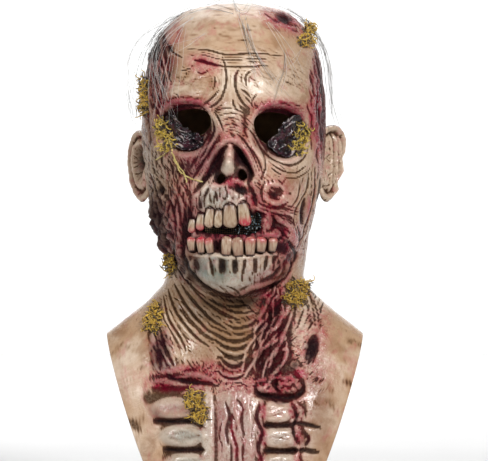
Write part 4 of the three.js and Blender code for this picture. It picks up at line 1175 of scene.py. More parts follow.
class Nodes:
    """Builds one material's node tree. Values set on sockets are numbers, or sockets to link."""

    def __init__(self, name):
        self.material = bpy.data.materials.new(name)
        self.material.use_nodes = True
        self.tree = self.material.node_tree
        self.shader = self.tree.nodes["Principled BSDF"]

    def put(self, socket, value):
        if isinstance(value, bpy.types.NodeSocket):
            self.tree.links.new(value, socket)
        elif isinstance(value, tuple) and len(value) == 3 and socket.type == "RGBA":
            socket.default_value = (*value, 1)
        else:
            socket.default_value = value

    def node(self, kind, out=0, settings=None, **inputs):
        made = self.tree.nodes.new(kind)
        for key, value in (settings or {}).items():
            setattr(made, key, value)
        for key, value in inputs.items():
            self.put(made.inputs[key.replace("_", " ")], value)
        return made.outputs[out]

    def mask(self, name):
        return self.node("ShaderNodeAttribute", "Fac", {"attribute_name": name})

    def maths(self, operation, a, b=0.0):
        made = self.tree.nodes.new("ShaderNodeMath")
        made.operation = operation
        self.put(made.inputs[0], a)
        self.put(made.inputs[1], b)
        return made.outputs[0]

    def times(self, a, b):
        return self.maths("MULTIPLY", a, b)

    def plus(self, a, b):
        return self.maths("ADD", a, b)

    def minus(self, a, b):
        return self.maths("SUBTRACT", a, b)

    def blend(self, a, b, share, mode="MIX"):
        made = self.tree.nodes.new("ShaderNodeMix")
        made.data_type = "RGBA"
        made.blend_type = mode
        self.put(made.inputs[0], share)
        self.put(made.inputs[6], a)
        self.put(made.inputs[7], b)
        return made.outputs[2]

    def noise(self, scale, detail=4.0, rough=0.55, warp=0.0):
        place = self.node("ShaderNodeTexCoord", "Object")
        return self.node("ShaderNodeTexNoise", "Fac", Vector=place, Scale=scale, Detail=detail,
                         Roughness=rough, Distortion=warp)

    def between(self, value, low, high, to_low=0.0, to_high=1.0):
        made = self.tree.nodes.new("ShaderNodeMapRange")
        made.interpolation_type = "SMOOTHSTEP"
        for key, number in (("From Min", low), ("From Max", high), ("To Min", to_low), ("To Max", to_high)):
            made.inputs[key].default_value = number
        self.put(made.inputs["Value"], value)
        return made.outputs[0]

    def bump(self, height, distance, strength=1.0, **under):
        return self.node("ShaderNodeBump", "Normal", Height=height, Distance=distance, Strength=strength,
                         **under)

    def finish(self, colour, roughness, **extra):
        self.put(self.shader.inputs["Base Color"], colour)
        self.put(self.shader.inputs["Roughness"], roughness)
        for key, value in extra.items():
            self.put(self.shader.inputs[key.replace("_", " ")], value)
        return self.material


def skin_material():
    """Cast and painted latex: tan flesh under washes of ochre, red and plum, dark in the creases with a wash
    that is partly paint and partly painted shade, and painted highlights on the ridges.
    """
    m = Nodes("Painted latex")
    broad = m.noise(22, 5, 0.6, 0.4)
    mottle = m.noise(75, 6, 0.65, 0.6)
    grain = m.noise(420, 5, 0.7)
    speck = m.noise(900, 3, 0.6)
    fleck = m.noise(230, 4, 0.62, 0.9)
    gore = m.mask("gore")
    hollow = m.mask("hollow")
    dark, red, pale, ochre, smooth = (m.mask(name) for name in ("dark", "red", "pale", "ochre", "smooth"))
    dry = m.between(grain, 0.3, 0.62, 0.55, 1)
    flesh = m.blend(TAN, CREAM, m.between(broad, 0.38, 0.7))
    flesh = m.blend(flesh, CREAM, m.times(pale, 0.85))
    flesh = m.blend(flesh, OCHRE, m.times(m.between(mottle, 0.5, 0.75), 0.3))
    stain = m.times(ochre, m.plus(m.times(m.between(mottle, 0.36, 0.62), 0.6), 0.35))
    flesh = m.blend(flesh, OCHRE, m.times(stain, 0.85))
    bone = m.blend(BONE, CREAM, m.times(pale, 0.6))
    bone = m.blend(bone, TAN, m.between(mottle, 0.52, 0.75, 0, 0.5))
    bone = m.blend(bone, BONE_STAIN, m.between(fleck, 0.5, 0.7, 0, 0.6))
    colour = m.blend(flesh, bone, m.mask("bone"))
    colour = m.blend(colour, VERDIGRIS, m.times(m.mask("green"), m.between(mottle, 0.3, 0.6, 0.5, 1)))
    speckled = m.times(m.between(mottle, 0.3, 0.58, 0.3, 1), m.between(fleck, 0.38, 0.6, 0.2, 1.1))
    colour = m.blend(colour, GLAZE, m.times(gore, speckled), "MULTIPLY")
    # The wash in the hollows, partly paint and partly painted shade; the winding lines are fine creases that
    # take it too
    thin = m.blend(OCHRE, BLOOD, gore)
    thick = m.blend(UMBER, m.blend(PLUM, BLACK_PAINT_AND_SHADE, 0.5), gore)
    wash_and_shade = m.blend(thin, thick, m.between(hollow, 0.15, 0.6))
    winding = m.maths("ABSOLUTE", m.minus(m.noise(310, 3, 0.5, 0.7), 0.5))
    line = m.between(winding, 0.0, 0.055, 1, 0)
    line = m.times(line, m.minus(1.0, smooth))
    line = m.times(line, m.between(gore, 0, 1, 0.38, 0.7))
    cover = m.times(m.between(hollow, 0.06, 0.52), m.between(grain, 0.25, 0.6, 0.7, 1))
    cover = m.maths("MAXIMUM", cover, line)
    colour = m.blend(colour, wash_and_shade, m.times(cover, 0.94))
    plum = m.times(m.mask("plum"), m.times(m.between(mottle, 0.3, 0.55, 0.6, 1), dry))
    colour = m.blend(colour, PLUM, plum)
    bleeding = m.times(red, m.between(mottle, 0.28, 0.56, 0.65, 1))
    blood = m.blend(ROSE, BLOOD, m.between(hollow, 0.1, 0.6))
    colour = m.blend(colour, blood, m.times(bleeding, m.between(fleck, 0.36, 0.58, 0.5, 1)))
    # Dark paint in black, which also carries painted shade under the chin, lids, nostrils and ribs
    black_paint_and_shade = m.times(dark, m.between(grain, 0.2, 0.55, 0.75, 1))
    colour = m.blend(colour, m.blend(BLACK_PAINT_AND_SHADE, PLUM, m.times(gore, 0.3)), black_paint_and_shade)
    # Painted highlights on the raised ridges, fading where the paint is dark or red
    light = m.times(m.mask("peak"), m.between(dark, 0.2, 0.9, 0.5, 0.08))
    light = m.times(light, m.between(red, 0.2, 0.9, 1, 0.25))
    highlight_tone = m.blend(m.blend(CREAM, HIGHLIGHT_OCHRE, ochre), HIGHLIGHT_RED, m.times(gore, 0.8))
    colour = m.blend(colour, highlight_tone, light)
    freckle = m.times(m.between(speck, 0.6, 0.72), 0.35)
    colour = m.blend(colour, m.blend(colour, OCHRE, 0.8), freckle)
    colour = m.node("ShaderNodeGamma", "Color", Color=colour, Gamma=DEEPEN)
    colour = m.blend(colour, LIFT, 1.0, "MULTIPLY")
    shine = m.between(m.noise(140, 4, 0.6), 0.35, 0.7, 0.2, 0.42)
    shine = m.plus(shine, m.times(smooth, 0.14))
    shine = m.minus(shine, m.times(m.mask("wet"), 0.18))
    shine = m.maths("MAXIMUM", m.minus(shine, m.times(gore, 0.1)), 0.0)
    height = m.plus(m.times(grain, 0.7), m.times(m.noise(1500, 3), 0.3))
    height = m.minus(height, line)
    lumps = m.bump(fleck, 0.0025, m.between(gore, 0, 1, 0.12, 0.75))
    # Coat and reflection are turned down in the hollows and dark paint, a painted shade on the reflections
    # there
    sunk = m.plus(hollow, dark)
    coat = m.times(m.between(sunk, 0.05, 0.45, 0.6, 0.0), m.between(smooth, 0, 1, 1, 0.15))
    glint = m.between(sunk, 0.05, 0.5, 0.42, 0.04)
    return m.finish(colour, shine, Normal=m.bump(height, 0.0006, 0.6, Normal=lumps), Coat_Normal=lumps,
                    Coat_Weight=coat, Coat_Roughness=0.16, Specular_IOR_Level=glint)


def lining_material():
    """The unpainted back of the latex, tan with a thin mottled stain."""
    m = Nodes("Bare latex")
    stain = m.noise(30, 5, 0.6)
    colour = m.blend((0.33, 0.22, 0.12), (0.2, 0.12, 0.06), m.between(stain, 0.35, 0.7))
    return m.finish(colour, 0.6, Normal=m.bump(m.noise(260, 5), 0.0008, 0.4))


def tooth_material():
    """Ivory with long brown streaks, red at the edge where tip says so; darker at the gum, partly stain and
    partly painted shade, and painted shade on the sides.
    """
    m = Nodes("Stained tooth")
    place = m.node("ShaderNodeTexCoord", "Object")
    place = m.node("ShaderNodeMapping", "Vector", Vector=place, Scale=(1, 1, 0.2))
    streak = m.node("ShaderNodeTexNoise", "Fac", Vector=place, Scale=700.0, Detail=5.0)
    gum = m.mask("gum")
    tint = m.between(m.node("ShaderNodeObjectInfo", "Random"), 0.2, 1.0, 0, 0.6)
    colour = m.blend((0.5, 0.4, 0.28), (0.27, 0.16, 0.085), m.between(streak, 0.42, 0.68))
    for tone, share in (
        ((0.3, 0.19, 0.12), tint),
        ((0.24, 0.1, 0.075), m.times(m.mask("stain"), m.between(streak, 0.3, 0.6, 0.6, 1))),
        # Darker towards the gum and near black at the root, partly stain and partly painted shade; the sides
        # get painted shade
        ((0.16, 0.06, 0.035), m.times(gum, 0.55)),
        ((0.1, 0.045, 0.025), m.times(m.mask("side"), 0.75)),
        ((0.03, 0.008, 0.007), m.between(gum, 0.86, 1.0)),
        ((0.42, 0.022, 0.045), m.times(m.mask("tip"), m.between(streak, 0.3, 0.6, 0.5, 1))),
    ):
        colour = m.blend(colour, tone, share)
    return m.finish(colour, 0.3, Normal=m.bump(m.noise(800, 4), 0.0004, 0.35), Specular_IOR_Level=0.55)


def film_material():
    """Dried glossy film, dark plum with painted highlights on its crests."""
    m = Nodes("Dried film")
    patch = m.between(m.noise(160, 5, 0.6, 0.8), 0.38, 0.56)
    colour = m.blend((0.05, 0.011, 0.02), (0.008, 0.005, 0.007), patch)
    # Painted highlights on the crests of the crinkles
    colour = m.blend(colour, (0.55, 0.46, 0.44), m.between(m.mask("peak"), 0.62, 0.95, 0, 0.7))
    return m.finish(colour, m.between(m.noise(300, 4), 0.35, 0.65, 0.12, 0.3), Specular_IOR_Level=0.7,
                    Normal=m.bump(m.noise(600, 5, 0.65), 0.0006, 0.5))


def moss_material(name, low, high):
    m = Nodes(name)
    colour = m.blend(low, high, m.between(m.noise(260, 4), 0.35, 0.65))
    return m.finish(colour, 0.85, Sheen_Weight=0.3)


def plain_material(name, low, high, scale, roughness, **extra):
    """Two tones in soft patches, finer as scale grows."""
    m = Nodes(name)
    colour = m.blend(low, high, m.between(m.noise(scale, 5, 0.6), 0.35, 0.65))
    return m.finish(colour, roughness, **extra)


# The skin in front of SHOWN_TO, as its y, can be found from the front. OFF_HEAD is how far outside the head's
# outline a place is before it counts as beside it.
SHOWN_TO = 12
OFF_HEAD = 1.2
SIDE_ON = -0.35


class Places:
    """Finds points of the finished skin from where the photograph shows them."""

    def __init__(self, surface, reach):
        self.points = surface.skin(blurred(surface.rise, reach) if reach else surface.rise).reshape(-1, 3)
        self.normals = surface.normal.reshape(-1, 3)
        chosen = np.nonzero((surface.base[..., 1] < SHOWN_TO).ravel())[0]
        x, drop = seen(self.points)
        self.tree = KDTree(len(chosen))
        for k in chosen.tolist():
            self.tree.insert((x[k], drop[k], 0), k)
        self.tree.balance()

    def at(self, x, drop, lift=0.0):
        """The point of the skin seen nearest this place, moved onto it, and the skin's normal there."""
        seen_at, k, _ = self.tree.find((x, drop, 0))
        point, normal = self.points[k], self.normals[k]
        scale = (CAMERA_DISTANCE + point[1]) / CAMERA_DISTANCE
        dx, dz = (x - seen_at[0]) * scale, -(drop - seen_at[1]) * scale
        dy = -(normal[0] * dx + normal[2] * dz) / normal[1] if normal[1] < SIDE_ON else 0
        return point + (dx, dy, dz) + normal * lift, normal

    def beside(self, x, drop, lift):
        """The point lifted off the skin or, outside the head's outline, in the air beside it."""
        _, k, gap = self.tree.find((x, drop, 0))
        if gap > OFF_HEAD:
            return x, self.points[k][1], WALL - drop
        return self.at(x, drop, lift)[0]


def tube_mesh(name, paths, sides=4):
    """One mesh of thin tubes. Each path is its points in millimetres and the radius at each of them."""
    points, blocks, ends, base = [], [], [], 0
    turn = np.arange(sides) * 2 * math.pi / sides
    for line, radius in paths:
        line = np.asarray(line, float)
        count = len(line)
        along = unit(np.gradient(line, axis=0))
        guide = np.where(np.abs(along[:, 2:]) > 0.85, (1.0, 0.0, 0.0), (0.0, 0.0, 1.0))
        side = unit(np.cross(along, guide))
        up = np.cross(side, along)
        ring = side[:, None] * np.cos(turn)[:, None] + up[:, None] * np.sin(turn)[:, None]
        ring = line[:, None] + np.broadcast_to(radius, count)[:, None, None] * ring
        points.append(ring.reshape(-1, 3))
        r, s = np.meshgrid(np.arange(count - 1), np.arange(sides), indexing="ij")
        a, b = base + r * sides + s, base + r * sides + (s + 1) % sides
        blocks.append(np.stack([a, b, b + sides, a + sides], -1).reshape(-1, 4))
        first = base + np.arange(sides)
        ends += [first[::-1], first + (count - 1) * sides]
        base += count * sides
    return make_mesh(name, np.concatenate(points), [np.concatenate(blocks), np.array(ends)])


def rings_within(edge, centre, rings):
    """Rings from a centre out to an edge, and how far out each of them is."""
    share = (np.arange(1, rings + 1) / rings)[:, None]
    return share, centre + share[..., None] * (edge - centre)


def leaf_mesh(name, front, back, tips, layers, under, flip):
    """A closed leaf from the rings of its front, of its back without the outermost, and both their tips.
    Layers are the masks of the front. The back has them times under."""
    rings, columns = front.shape[:2]
    points = [front.reshape(-1, 3), back[::-1].reshape(-1, 3), *tips]
    masks = {key: np.concatenate([a.ravel(), under * a[-2::-1].ravel(), [0, 0]]) for key, a in layers.items()}
    blocks = tube_faces(2 * rings - 1, columns)
    return make_mesh(name, np.concatenate(points), flipped(blocks) if flip else blocks, masks)


def turned(a, b, angle):
    return a * math.cos(angle) - b * math.sin(angle), a * math.sin(angle) + b * math.cos(angle)


def place_piece(piece, material, node=None):
    piece.data.materials.append(material)
    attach(piece, "root")
    if node:
        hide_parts(node)


surface = build_surface()
latex = skin_material()
place_piece(skin_mesh(surface), latex, "mask_shell")
place_piece(lining_mesh(surface), lining_material())

# The skin as it is, without its creases, and without its folds
firm, soft, bare = (Places(surface, reach) for reach in (0, 5, 14))


# Teeth: rings and columns, depth at the gum, how far the root stands off the skin, and how the rows curve
TOOTH_GRID = (15, 22)
TOOTH_DEPTH = 3.4
ROOT_LIFT = 0.9
ROW_CENTRE = 18
ROW_TURN = 0.75


def tooth_mesh(name, x, drop, wide, high, lean, pink, upper):
    """A rounded crown, wider at its edge than at the gum, with its root sunk in the gum."""
    rings, columns = TOOTH_GRID
    root, _ = bare.at(x, drop, ROOT_LIFT)
    t = np.linspace(0, 1, rings)[:, None]
    turn = np.arange(columns)[None] * 2 * math.pi / columns
    half = 0.5 * wide * (0.76 + 0.3 * np.sin(t * 1.9)) * (1 - ((t - 0.8) / 0.2).clip(0, 1) ** 2.2 * 0.45)
    deep = TOOTH_DEPTH * (0.95 - 0.35 * t) * (1 - ((t - 0.85) / 0.15).clip(0, 1) ** 2 * 0.6)
    across = np.sign(np.cos(turn)) * np.abs(np.cos(turn)) ** 0.75 * half
    out = -np.sign(np.sin(turn)) * np.abs(np.sin(turn)) ** 0.8 * deep
    out -= 0.35 * np.cos(across / wide * 14) * (out < 0) * (1 - t)
    bulge = -1.5 * np.sin(t * 2.4)
    sign = -1 if upper else 1
    down = sign * ((t - 0.5) * high + 0.35 * np.sin(turn + x) * t)
    local = np.stack([across, out + bulge, down], -1).reshape(-1, 3)
    tips = [[0, bulge[0, 0], -sign * 0.5 * high], [0, bulge[-1, 0], sign * (0.5 * high + 0.6)]]
    a, b, z = np.concatenate([local, tips]).T
    # Leaned in the plane of the row, then turned to face out from it
    a, z = turned(a, z, -math.radians(lean))
    a, b = turned(a, b, math.atan2(root[0], ROW_CENTRE - root[1]) * ROW_TURN)
    points = np.stack([a, b, z], -1) + root
    blocks = tube_faces(rings, columns)
    share = np.concatenate([np.repeat(t[:, 0], columns), [0, 1]])
    side_on = np.concatenate([np.tile(np.abs(np.cos(turn[0])), rings), [0, 0]])
    # gum darkens towards the root, partly stain and partly painted shade; side is painted shade on the rounded
    # sides
    masks = {"gum": smoothstep(0.42, 0.0, share), "tip": pink * smoothstep(0.5, 0.9, share),
             "side": smoothstep(0.72, 0.97, side_on),
             "stain": (0.12 if upper else 0.5) * (1 - 0.4 * share)}
    return make_mesh(name, points, flipped(blocks) if upper else blocks, masks)


ivory = tooth_material()
for row, teeth in (("upper", UPPER_TEETH), ("lower", LOWER_TEETH)):
    for place, tooth in enumerate(teeth, 1):
        place_piece(tooth_mesh(f"tooth_{row}_{place}", *tooth, row == "upper"), ivory)

# Ears: a rimmed cup leaning out from the side of the head, its outline in shares of its width and half height
EAR_OUTLINE = path("-0.3,-0.5 -0.1,-0.9 0.2,-0.98 0.48,-0.72 0.72,-0.2 0.9,0.3 0.93,0.68 0.72,0.95 0.35,1 "
                   "0,0.9 -0.3,0.55 -0.4,0")
EAR_MIDDLE = (0.25, 0.1)
EAR_HALF_HEIGHT = 0.133 * CHIN_DROP
EAR_WIDTH = 0.39 * HEAD_HALF
EAR_DROP = 0.545 * CHIN_DROP
EAR_ANGLE = 1.69
EAR_FLARE = math.radians(33)
EAR_THICK = 2.4
EAR_GRID = (30, 88)


def ear_lift(share, u, v, folds):
    """How far the cup's surface stands out, in millimetres."""
    outer = smoothstep(-0.2, 0.35, u + 0.35 * np.abs(v) - 0.1)
    rim = np.exp(-((share - 0.91) / 0.075) ** 2) - np.exp(-((share - 0.76) / 0.07) ** 2)
    lift = 3.2 * u + 2.6 * outer * rim
    if not folds:
        lift += 2.4 * outer * np.exp(-((share - 0.57) / 0.09) ** 2)
        lift -= 7 * np.exp(-(((u - 0.17) / 0.24) ** 2 + ((v - 0.12) / 0.42) ** 2) ** 1.5)
        return lift + 2.5 * np.exp(-(((u + 0.05) / 0.12) ** 2 + ((v + 0.15) / 0.2) ** 2))
    for middle, high in ((0.16, 2.2), (0.38, 2.6), (0.6, 2.2)):
        away = u - middle - 0.1 * (1 - v * v)
        fold = high * np.exp(-(away / 0.055) ** 2) - 2.0 * np.exp(-((away - 0.11) / 0.05) ** 2)
        lift += fold * smoothstep(0.95, 0.5, np.abs(v))
    return lift


def ear_mesh(name, side, folds):
    rings, columns = EAR_GRID
    outline = smooth_path([EAR_OUTLINE[-1], *EAR_OUTLINE, *EAR_OUTLINE[:2]], 601)[40:-80]
    run = np.concatenate([[0], np.cumsum(np.linalg.norm(np.diff(outline, axis=0), axis=1))])
    stop = np.linspace(0, run[-1], columns, endpoint=False)
    edge = np.stack([np.interp(stop, run, outline[:, k]) for k in (0, 1)], -1)
    share, flat = rings_within(edge, np.array(EAR_MIDDLE), rings)
    u, v = flat[..., 0], flat[..., 1]
    if not folds:
        u = u * (1 - 0.38 * smoothstep(-0.4, 0.9, v))
        v = np.where(v > 0, 0.86 * v, v)
    lift = ear_lift(share, u, v, folds)
    place = np.stack([u * EAR_WIDTH, v * EAR_HALF_HEIGHT, np.full_like(u, 40 * side)], -1)
    grain = noise_over(place, 7, 4)
    lift += 0.8 * grain - 0.7 * smoothstep(0.75, 1, ridges_over(place, 8))
    levels = np.linspace(1, LAST, 400)
    drops = WALL - base_point(np.full(400, side * EAR_ANGLE), levels)[:, 2]
    seat = base_point(np.array([side * EAR_ANGLE]), np.interp([EAR_DROP], drops, levels))[0]
    c, s = math.cos(EAR_FLARE), math.sin(EAR_FLARE)
    ways = np.array([(side * s, c, 0), (0, 0, 1), (side * c, -s, 0)])

    def put(u, v, w):
        return seat + np.stack([u * EAR_WIDTH, v * EAR_HALF_HEIGHT, w], -1) @ ways

    thick = EAR_THICK * np.sqrt(np.clip(1 - share ** 7, 0, 1))
    front = put(u, v, lift + thick)
    back = put(u, v, 0.75 * blurred(lift, 3) - thick)[:-1]
    tips = [put(*EAR_MIDDLE, lift[0].mean() + step)[None] for step in (EAR_THICK, -EAR_THICK)]
    fine = blurred(lift, 2) - lift
    # pit is the deep bowl of the cup: the extra dark, plum and ochre there are painted shade, and the pale
    # outside it painted light on the rim. Hollow and peak carry painted shade in the folds and painted
    # highlights on their crests
    pit = np.clip((3.2 * u - lift) / 7, 0, 1)
    layers = {
        "hollow": 0.6 * np.clip(fine / 0.5, 0, 1), "peak": np.clip(-fine / 0.6, 0, 1),
        "dark": (0.6 if folds else 0.95) * pit, "ochre": 0.3 + 0.4 * pit, "pale": 0.7 * (1 - pit),
        "red": 0.4 * smoothstep(0.0, 0.5, grain), "plum": 0.5 * pit,
    }
    return leaf_mesh(name, front, back, tips, layers, 0.5, side > 0)


for name, side, folds in (("ear_right", -1, False), ("ear_left", 1, True)):
    place_piece(ear_mesh(name, side, folds), latex)

# Moss: tufts of short curling stems in ovals of x, drop, half width and half height, with the number of stems
mustard = moss_material("Mustard moss", (0.4, 0.21, 0.012), (0.7, 0.46, 0.05))
olive = moss_material("Olive moss", (0.36, 0.22, 0.018), (0.72, 0.52, 0.07))
# Dark brown stems for the painted shade among the moss stems
moss_in_shade = moss_material("Moss in shade", (0.02, 0.012, 0.005), (0.13, 0.07, 0.015))
TUFTS = (
    ("moss_scalp", ((67, 25, 4, 6), (64, 35, 7, 6)), 170, mustard),
    ("moss_temple", ((-82, 78, 3.5, 11), (-82, 94, 4, 10)), 190, mustard),
    ("moss_eye_right", ((-66, 114, 5, 9), (-60, 128, 7, 9)), 210, olive),
    ("moss_eye_left", ((60, 117, 7, 10), (56, 132, 7, 9)), 240, olive),
    ("moss_jaw", ((-58, 240, 4.5, 10),), 110, mustard),
    ("moss_neck_left", ((57, 262, 11, 8), (54, 272, 9, 7)), 280, mustard),
    ("moss_neck_right", ((-72, 284, 5, 8), (-75, 295, 7, 9)), 190, mustard),
    ("moss_chest", ((-37, 366, 9, 9), (-33, 378, 8, 9)), 300, mustard),
)
# A stem's length, joints and radius from root to tip, how deep its root lies, and how it curls and strays
STEM = 8.5
JOINTS = 7
STEM_RADII = (0.62, 0.34)
STEM_SINK = -0.4
CURL = 0.42
STRAY = 0.25


def scatter(rng):
    return np.array([rng.gauss(0, 1) for _ in range(3)])


def stems(rng, ovals, count, lift):
    """Stems that wander about, held between the skin and a little more than lift above it."""
    paths = []
    for k in range(count):
        x, drop, wide, high = ovals[k % len(ovals)]
        radius, spin = math.sqrt(rng.random()), rng.uniform(0, 2 * math.pi)
        x, drop = x + wide * radius * math.cos(spin), drop + high * radius * math.sin(spin)
        point, normal = soft.at(x, drop, STEM_SINK)
        heading = unit(scatter(rng) + 0.9 * normal)
        curl = scatter(rng)
        step = STEM * rng.uniform(0.6, 1.25) / JOINTS
        line = [point + normal * rng.uniform(0, lift)]
        for _ in range(JOINTS):
            heading = heading + CURL * np.cross(curl, heading) + STRAY * scatter(rng)
            gap = (line[-1] - point) @ normal
            heading = unit(heading + normal * (0.5 if gap < 0.8 else -0.35 if gap > lift + 2.5 else 0))
            line.append(line[-1] + heading * step)
        paths.append((line, np.linspace(*STEM_RADII, JOINTS + 1) * rng.uniform(0.8, 1.2)))
    return paths


for seed, (name, ovals, count, moss) in enumerate(TUFTS, 100):
    rng = random.Random(seed)
    place_piece(tube_mesh(name + "_stems", stems(rng, ovals, round(count * 0.62), 4.5)), moss, name)
    # The low stems under them are dark, a painted shade inside the tuft
    place_piece(tube_mesh(name + "_under", stems(rng, ovals, round(count * 0.45), 2.0)), moss_in_shade)

# Films: crinkled sheets over the outer part of each socket, with the angle of their wrinkles
FILMS = (
    ("film_right", "-64,106 -58,102.5 -54,106 -48,112.5 -41,119 -31,122 -29,127 -35,134 -50,134 -60,125", 24),
    ("film_left", "58,103 50,106 45,110 41,115 38,121 30,127 35,136 48,141 58,137 63,126 63,114", -40),
)
FILM_LIFT = 2.6
FILM_THICK = 0.7
FILM_GRID = (26, 72)
FRAY = 0.7


def film_mesh(name, outline, lean, seed):
    rings, columns = FILM_GRID
    edge = round_outline(outline)
    run, stops = np.linspace(0, len(edge), columns, endpoint=False), np.arange(len(edge) + 1)
    edge = np.stack([np.interp(run, stops, np.append(line, line[0])) for line in edge.T], -1)
    rng = random.Random(seed)
    edge += np.array([[rng.gauss(0, FRAY), rng.gauss(0, FRAY)] for _ in range(columns)])
    _, flat = rings_within(edge, edge.mean(0), rings)
    along, over = turned(flat[..., 0], flat[..., 1], -math.radians(lean))
    field = np.stack([along * 0.35, over, np.full_like(along, seed)], -1)
    crinkle = 1.5 * noise_over(field, 5.0, 3) + 2.0 * (ridges_over(field, 4.5, seed) ** 3 - 0.2)
    low = np.array([[soft.at(*p)[0] for p in row] for row in flat.tolist()])
    front = low + FORWARD * (FILM_LIFT + crinkle)[..., None]
    back = (front - FORWARD * FILM_THICK)[:-1]
    tips = [front[0].mean(0)[None], back[0].mean(0)[None]]
    # peak carries the painted highlights on the film's crests
    return leaf_mesh(name, front, back, tips, {"peak": np.clip(crinkle / 2.4 + 0.1, 0, 1)}, 0, True)


plum_film = film_material()
for seed, (name, outline, lean) in enumerate(FILMS, 3):
    place_piece(film_mesh(name + "_looks", outline, lean, seed), plum_film, name)

# Net behind the mouth: a plain weave of black thread with glittering flecks
NET_SPAN = ((-33, 29), (192, 215))
NET_DEPTH = WALL + 1.6
NET_GAP = 1.7
NET_STEP = 1.1
THREAD = 0.24
WEAVE = 0.25
FLECK = 0.3
BULGE = 4.5
BULGE_AT = (13, 203)
BULGE_SIZE = (12, 8)


def net_point(x, drop, lift, sag=0.0):
    """A point of the net, which bulges forward at the left end of the mouth."""
    away = [(at - middle) / size for at, middle, size in zip((x, drop), BULGE_AT, BULGE_SIZE)]
    bulge = BULGE * math.exp(-(away[0] ** 2 + away[1] ** 2))
    return bare.at(x, drop + sag)[0] + FORWARD * (bulge - NET_DEPTH + lift)


def net_threads():
    wide, high = NET_SPAN
    for turn, (across, run) in enumerate(((wide, (high[0], high[1] - 1)), (high, wide))):
        for row, fixed in enumerate(np.arange(*across, NET_GAP)):
            line = []
            for step, moving in enumerate(np.arange(*run, NET_STEP)):
                x, drop = (moving, fixed) if turn else (fixed, moving)
                lift = WEAVE * (-1) ** (row + step + turn)
                line.append(net_point(x, drop, lift, 0.8 * math.sin(x / 5)))
            yield line, THREAD


def flecks(rng, count):
    for _ in range(count):
        start = net_point(rng.gauss(BULGE_AT[0], 6), rng.gauss(BULGE_AT[1], 4.5), 0.5)
        yield [start, start + (rng.gauss(0, 0.4), 0, rng.gauss(0, 0.4))], FLECK


net = tube_mesh("mouth_net_weave", net_threads())
black = plain_material("Black thread", (0.002, 0.002, 0.002), (0.004, 0.004, 0.005), 300, 0.75,
                       Specular_IOR_Level=0.05)
place_piece(net, black, "mouth_net")
flake = plain_material("Glitter", (0.1, 0.2, 0.24), (0.8, 0.92, 0.95), 900, 0.2, Metallic=0.3)
place_piece(tube_mesh("mouth_net_glitter", flecks(random.Random(41), 120)), flake)

# Hair: long sparse strands. Each row is their number, how far they spread, and their path as photographed.
HAIR = """
7 2.5 -41,6 -66,19 -84,30 -96,46 -100,72 -95,100 -90,116
6 3.5 -38,6 -60,17 -74,34 -82,56 -86,80 -86,104
6 3 -46,9 -66,28 -76,46 -81,66 -84,92
5 5 -52,13 -70,33 -74,52 -66,76 -60,98
7 3 -66,24 -80,40 -90,62 -94,88 -92,108
4 4 -70,36 -72,58 -64,82 -56,106
3 2 -78,48 -74,66 -68,84 -62,100
4 1.5 -3,-3 2,9 8,11 14,4 20,0
4 1.5 4,8 9,28 14,50 19,68
6 2 -26,3 -10,-1 8,-1 24,3 34,8
5 2 -2,8 -24,4 -44,10 -60,22
8 3 34,4 56,14 74,30 83,50 86,76 85,100
9 3 48,7 68,20 80,40 86,66 87,92 92,112
6 2.5 60,16 76,32 86,56 90,82 98,112
5 3 60,20 74,46 79,74 77,100 80,124
4 3 46,46 44,62 38,78 34,92
3 3 10,12 14,34 22,52 34,70
"""
PALE_HAIR = HAIR + """\
10 6 -42,12 -52,34 -56,58 -62,84 -66,110
8 5 -38,14 -60,34 -70,60 -68,92
8 5 0,4 6,22 16,44 30,66 44,84
6 6 22,10 36,30 48,52 58,74
5 5 -26,28 -44,42 -62,50
5 6 62,40 52,52 38,66 30,80
"""


# A hair's radius, the lift of its root, and how far it floats above the skin: at least, and how much more
HAIR_RADIUS = 0.13
ROOTED = 0.2
FLOAT = (1.0, 2.2)


def hair_paths(rng, rows, share):
    """The given share of each row's strands, from the scalp outwards."""
    for row in rows.strip().splitlines():
        count, spread, controls = row.split(maxsplit=2)
        count, spread, controls = number(count), number(spread), path(controls)
        for _ in range(max(2, round(count * share))):
            side = (rng.gauss(0, spread), rng.gauss(0, spread))
            shift = rng.uniform(-3, 3)
            line = []
            for k, (x, drop) in enumerate(controls):
                grow = (k / (len(controls) - 1)) ** 0.7
                x += side[0] * grow + rng.gauss(0, 0.5)
                drop += side[1] * grow + shift + rng.gauss(0, 0.5)
                lift = FLOAT[0] + FLOAT[1] * rng.random() if k else ROOTED
                line.append(firm.beside(x, drop, lift))
            curve = smooth_path(line, 6 * len(line))
            yield curve, HAIR_RADIUS * rng.uniform(0.8, 1.5) * np.linspace(1, 0.55, len(curve))


rng = random.Random(77)
for name, tone, rows, share, low, high in (
    ("hair_pale", "Pale hair", PALE_HAIR, 0.5, (0.55, 0.53, 0.5), (0.82, 0.8, 0.77)),
    ("hair_dark", "Grey hair", HAIR, 0.6, (0.02, 0.02, 0.022), (0.12, 0.115, 0.11)),
):
    place_piece(tube_mesh(name, hair_paths(rng, rows, share), 3), plain_material(tone, low, high, 80, 0.5))

# Straw strands hanging from the right eye's moss
STRAW = (
    "-58,126 -55,138 -52,148 -48,155 -40,161 -29,164", "-60,120 -57,132 -54,145 -49,152",
    "-57,134 -63,139 -68,141 -71,144", "-52,150 -46,156 -42,165",
)
STRAW_RADIUS = 0.7
rng = random.Random(5)
straws = []
for strand in map(path, STRAW):
    line = [soft.at(x + rng.gauss(0, 0.4), drop, 1.6 + rng.random())[0] for x, drop in strand]
    line = smooth_path(line, 8 * len(line))
    line = line + np.array([[rng.gauss(0, 0.25) for _ in range(3)] for _ in line])
    straws.append((line, [STRAW_RADIUS * rng.uniform(0.6, 1.25) for _ in line]))
straw = plain_material("Straw", (0.4, 0.3, 0.09), (0.62, 0.5, 0.2), 200, 0.7)
place_piece(tube_mesh("straw", straws, 5), straw)

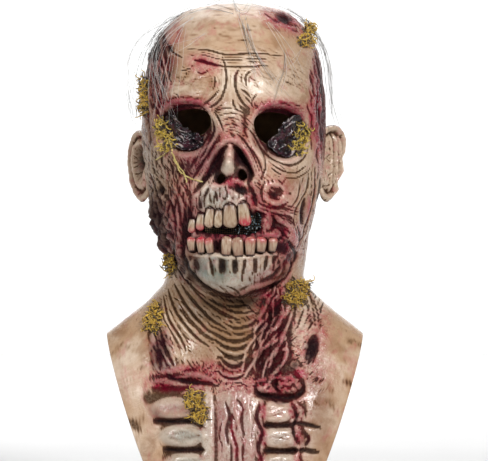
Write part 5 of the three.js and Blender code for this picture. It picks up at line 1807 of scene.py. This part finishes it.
# Floor, backdrop, light and camera, in metres
FLOOR = SHELL_LOW.z * MM - 0.004
ACROSS = 8
AHEAD = -6
BACK = 3.4
TOP = 5
FAR = 20


def sheet_mesh(name, corners, tone, shade):
    made = make_mesh(name, np.array(corners) / MM, [[(0, 1, 2, 3)]])
    made.data.materials.append(plain_material("Pale " + name, (shade,) * 3, (tone,) * 3, 3, 0.9))
    return made


def light(name, place, aim, size, power):
    data = bpy.data.lights.new(name, "AREA")
    data.size = size
    data.energy = power
    lamp = bpy.data.objects.new(name, data)
    lamp.location = place
    lamp.rotation_euler = (Vector(aim) - Vector(place)).to_track_quat("-Z", "Y").to_euler()
    bpy.context.collection.objects.link(lamp)


floor = [(-ACROSS, AHEAD, FLOOR), (ACROSS, AHEAD, FLOOR), (ACROSS, BACK, FLOOR), (-ACROSS, BACK, FLOOR)]
wall = [(-ACROSS, BACK, FLOOR), (ACROSS, BACK, FLOOR), (ACROSS, BACK, TOP), (-ACROSS, BACK, TOP)]
sheet_mesh("floor", floor, 0.62, 0.6)
sheet_mesh("backdrop", wall, 0.82, 0.8)

MIDDLE = (0, 0, SHELL_LOW.z * MM * 0.4)
SKY = 0.08
SENSOR = 36
light("key", (0.85, -1.65, 0.85), MIDDLE, 0.25, 35.5)
light("fill", (-1.3, -1.25, 0.5), MIDDLE, 0.3, 14)
light("wall", (0, 1.6, 2.4), (0, BACK, 0.6), 2, 155)

world = bpy.data.worlds.new("studio")
bpy.context.scene.world = world
world.use_nodes = True
sky = world.node_tree.nodes["Background"]
sky.inputs["Color"].default_value = (1, 1, 1, 1)
sky.inputs["Strength"].default_value = SKY

camera = bpy.data.objects.new("camera", bpy.data.cameras.new("camera"))
bpy.context.collection.objects.link(camera)
camera.location = (CAMERA_X * MM, -CAMERA_DISTANCE * MM, (WALL - CAMERA_DROP) * MM)
camera.rotation_euler = (math.radians(90), 0, 0)
camera.data.sensor_width = SENSOR
camera.data.lens = SENSOR * CAMERA_DISTANCE / PICTURE_WIDTH
camera.data.clip_end = FAR
bpy.context.scene.camera = camera
bpy.context.scene.view_settings.view_transform = "Standard"
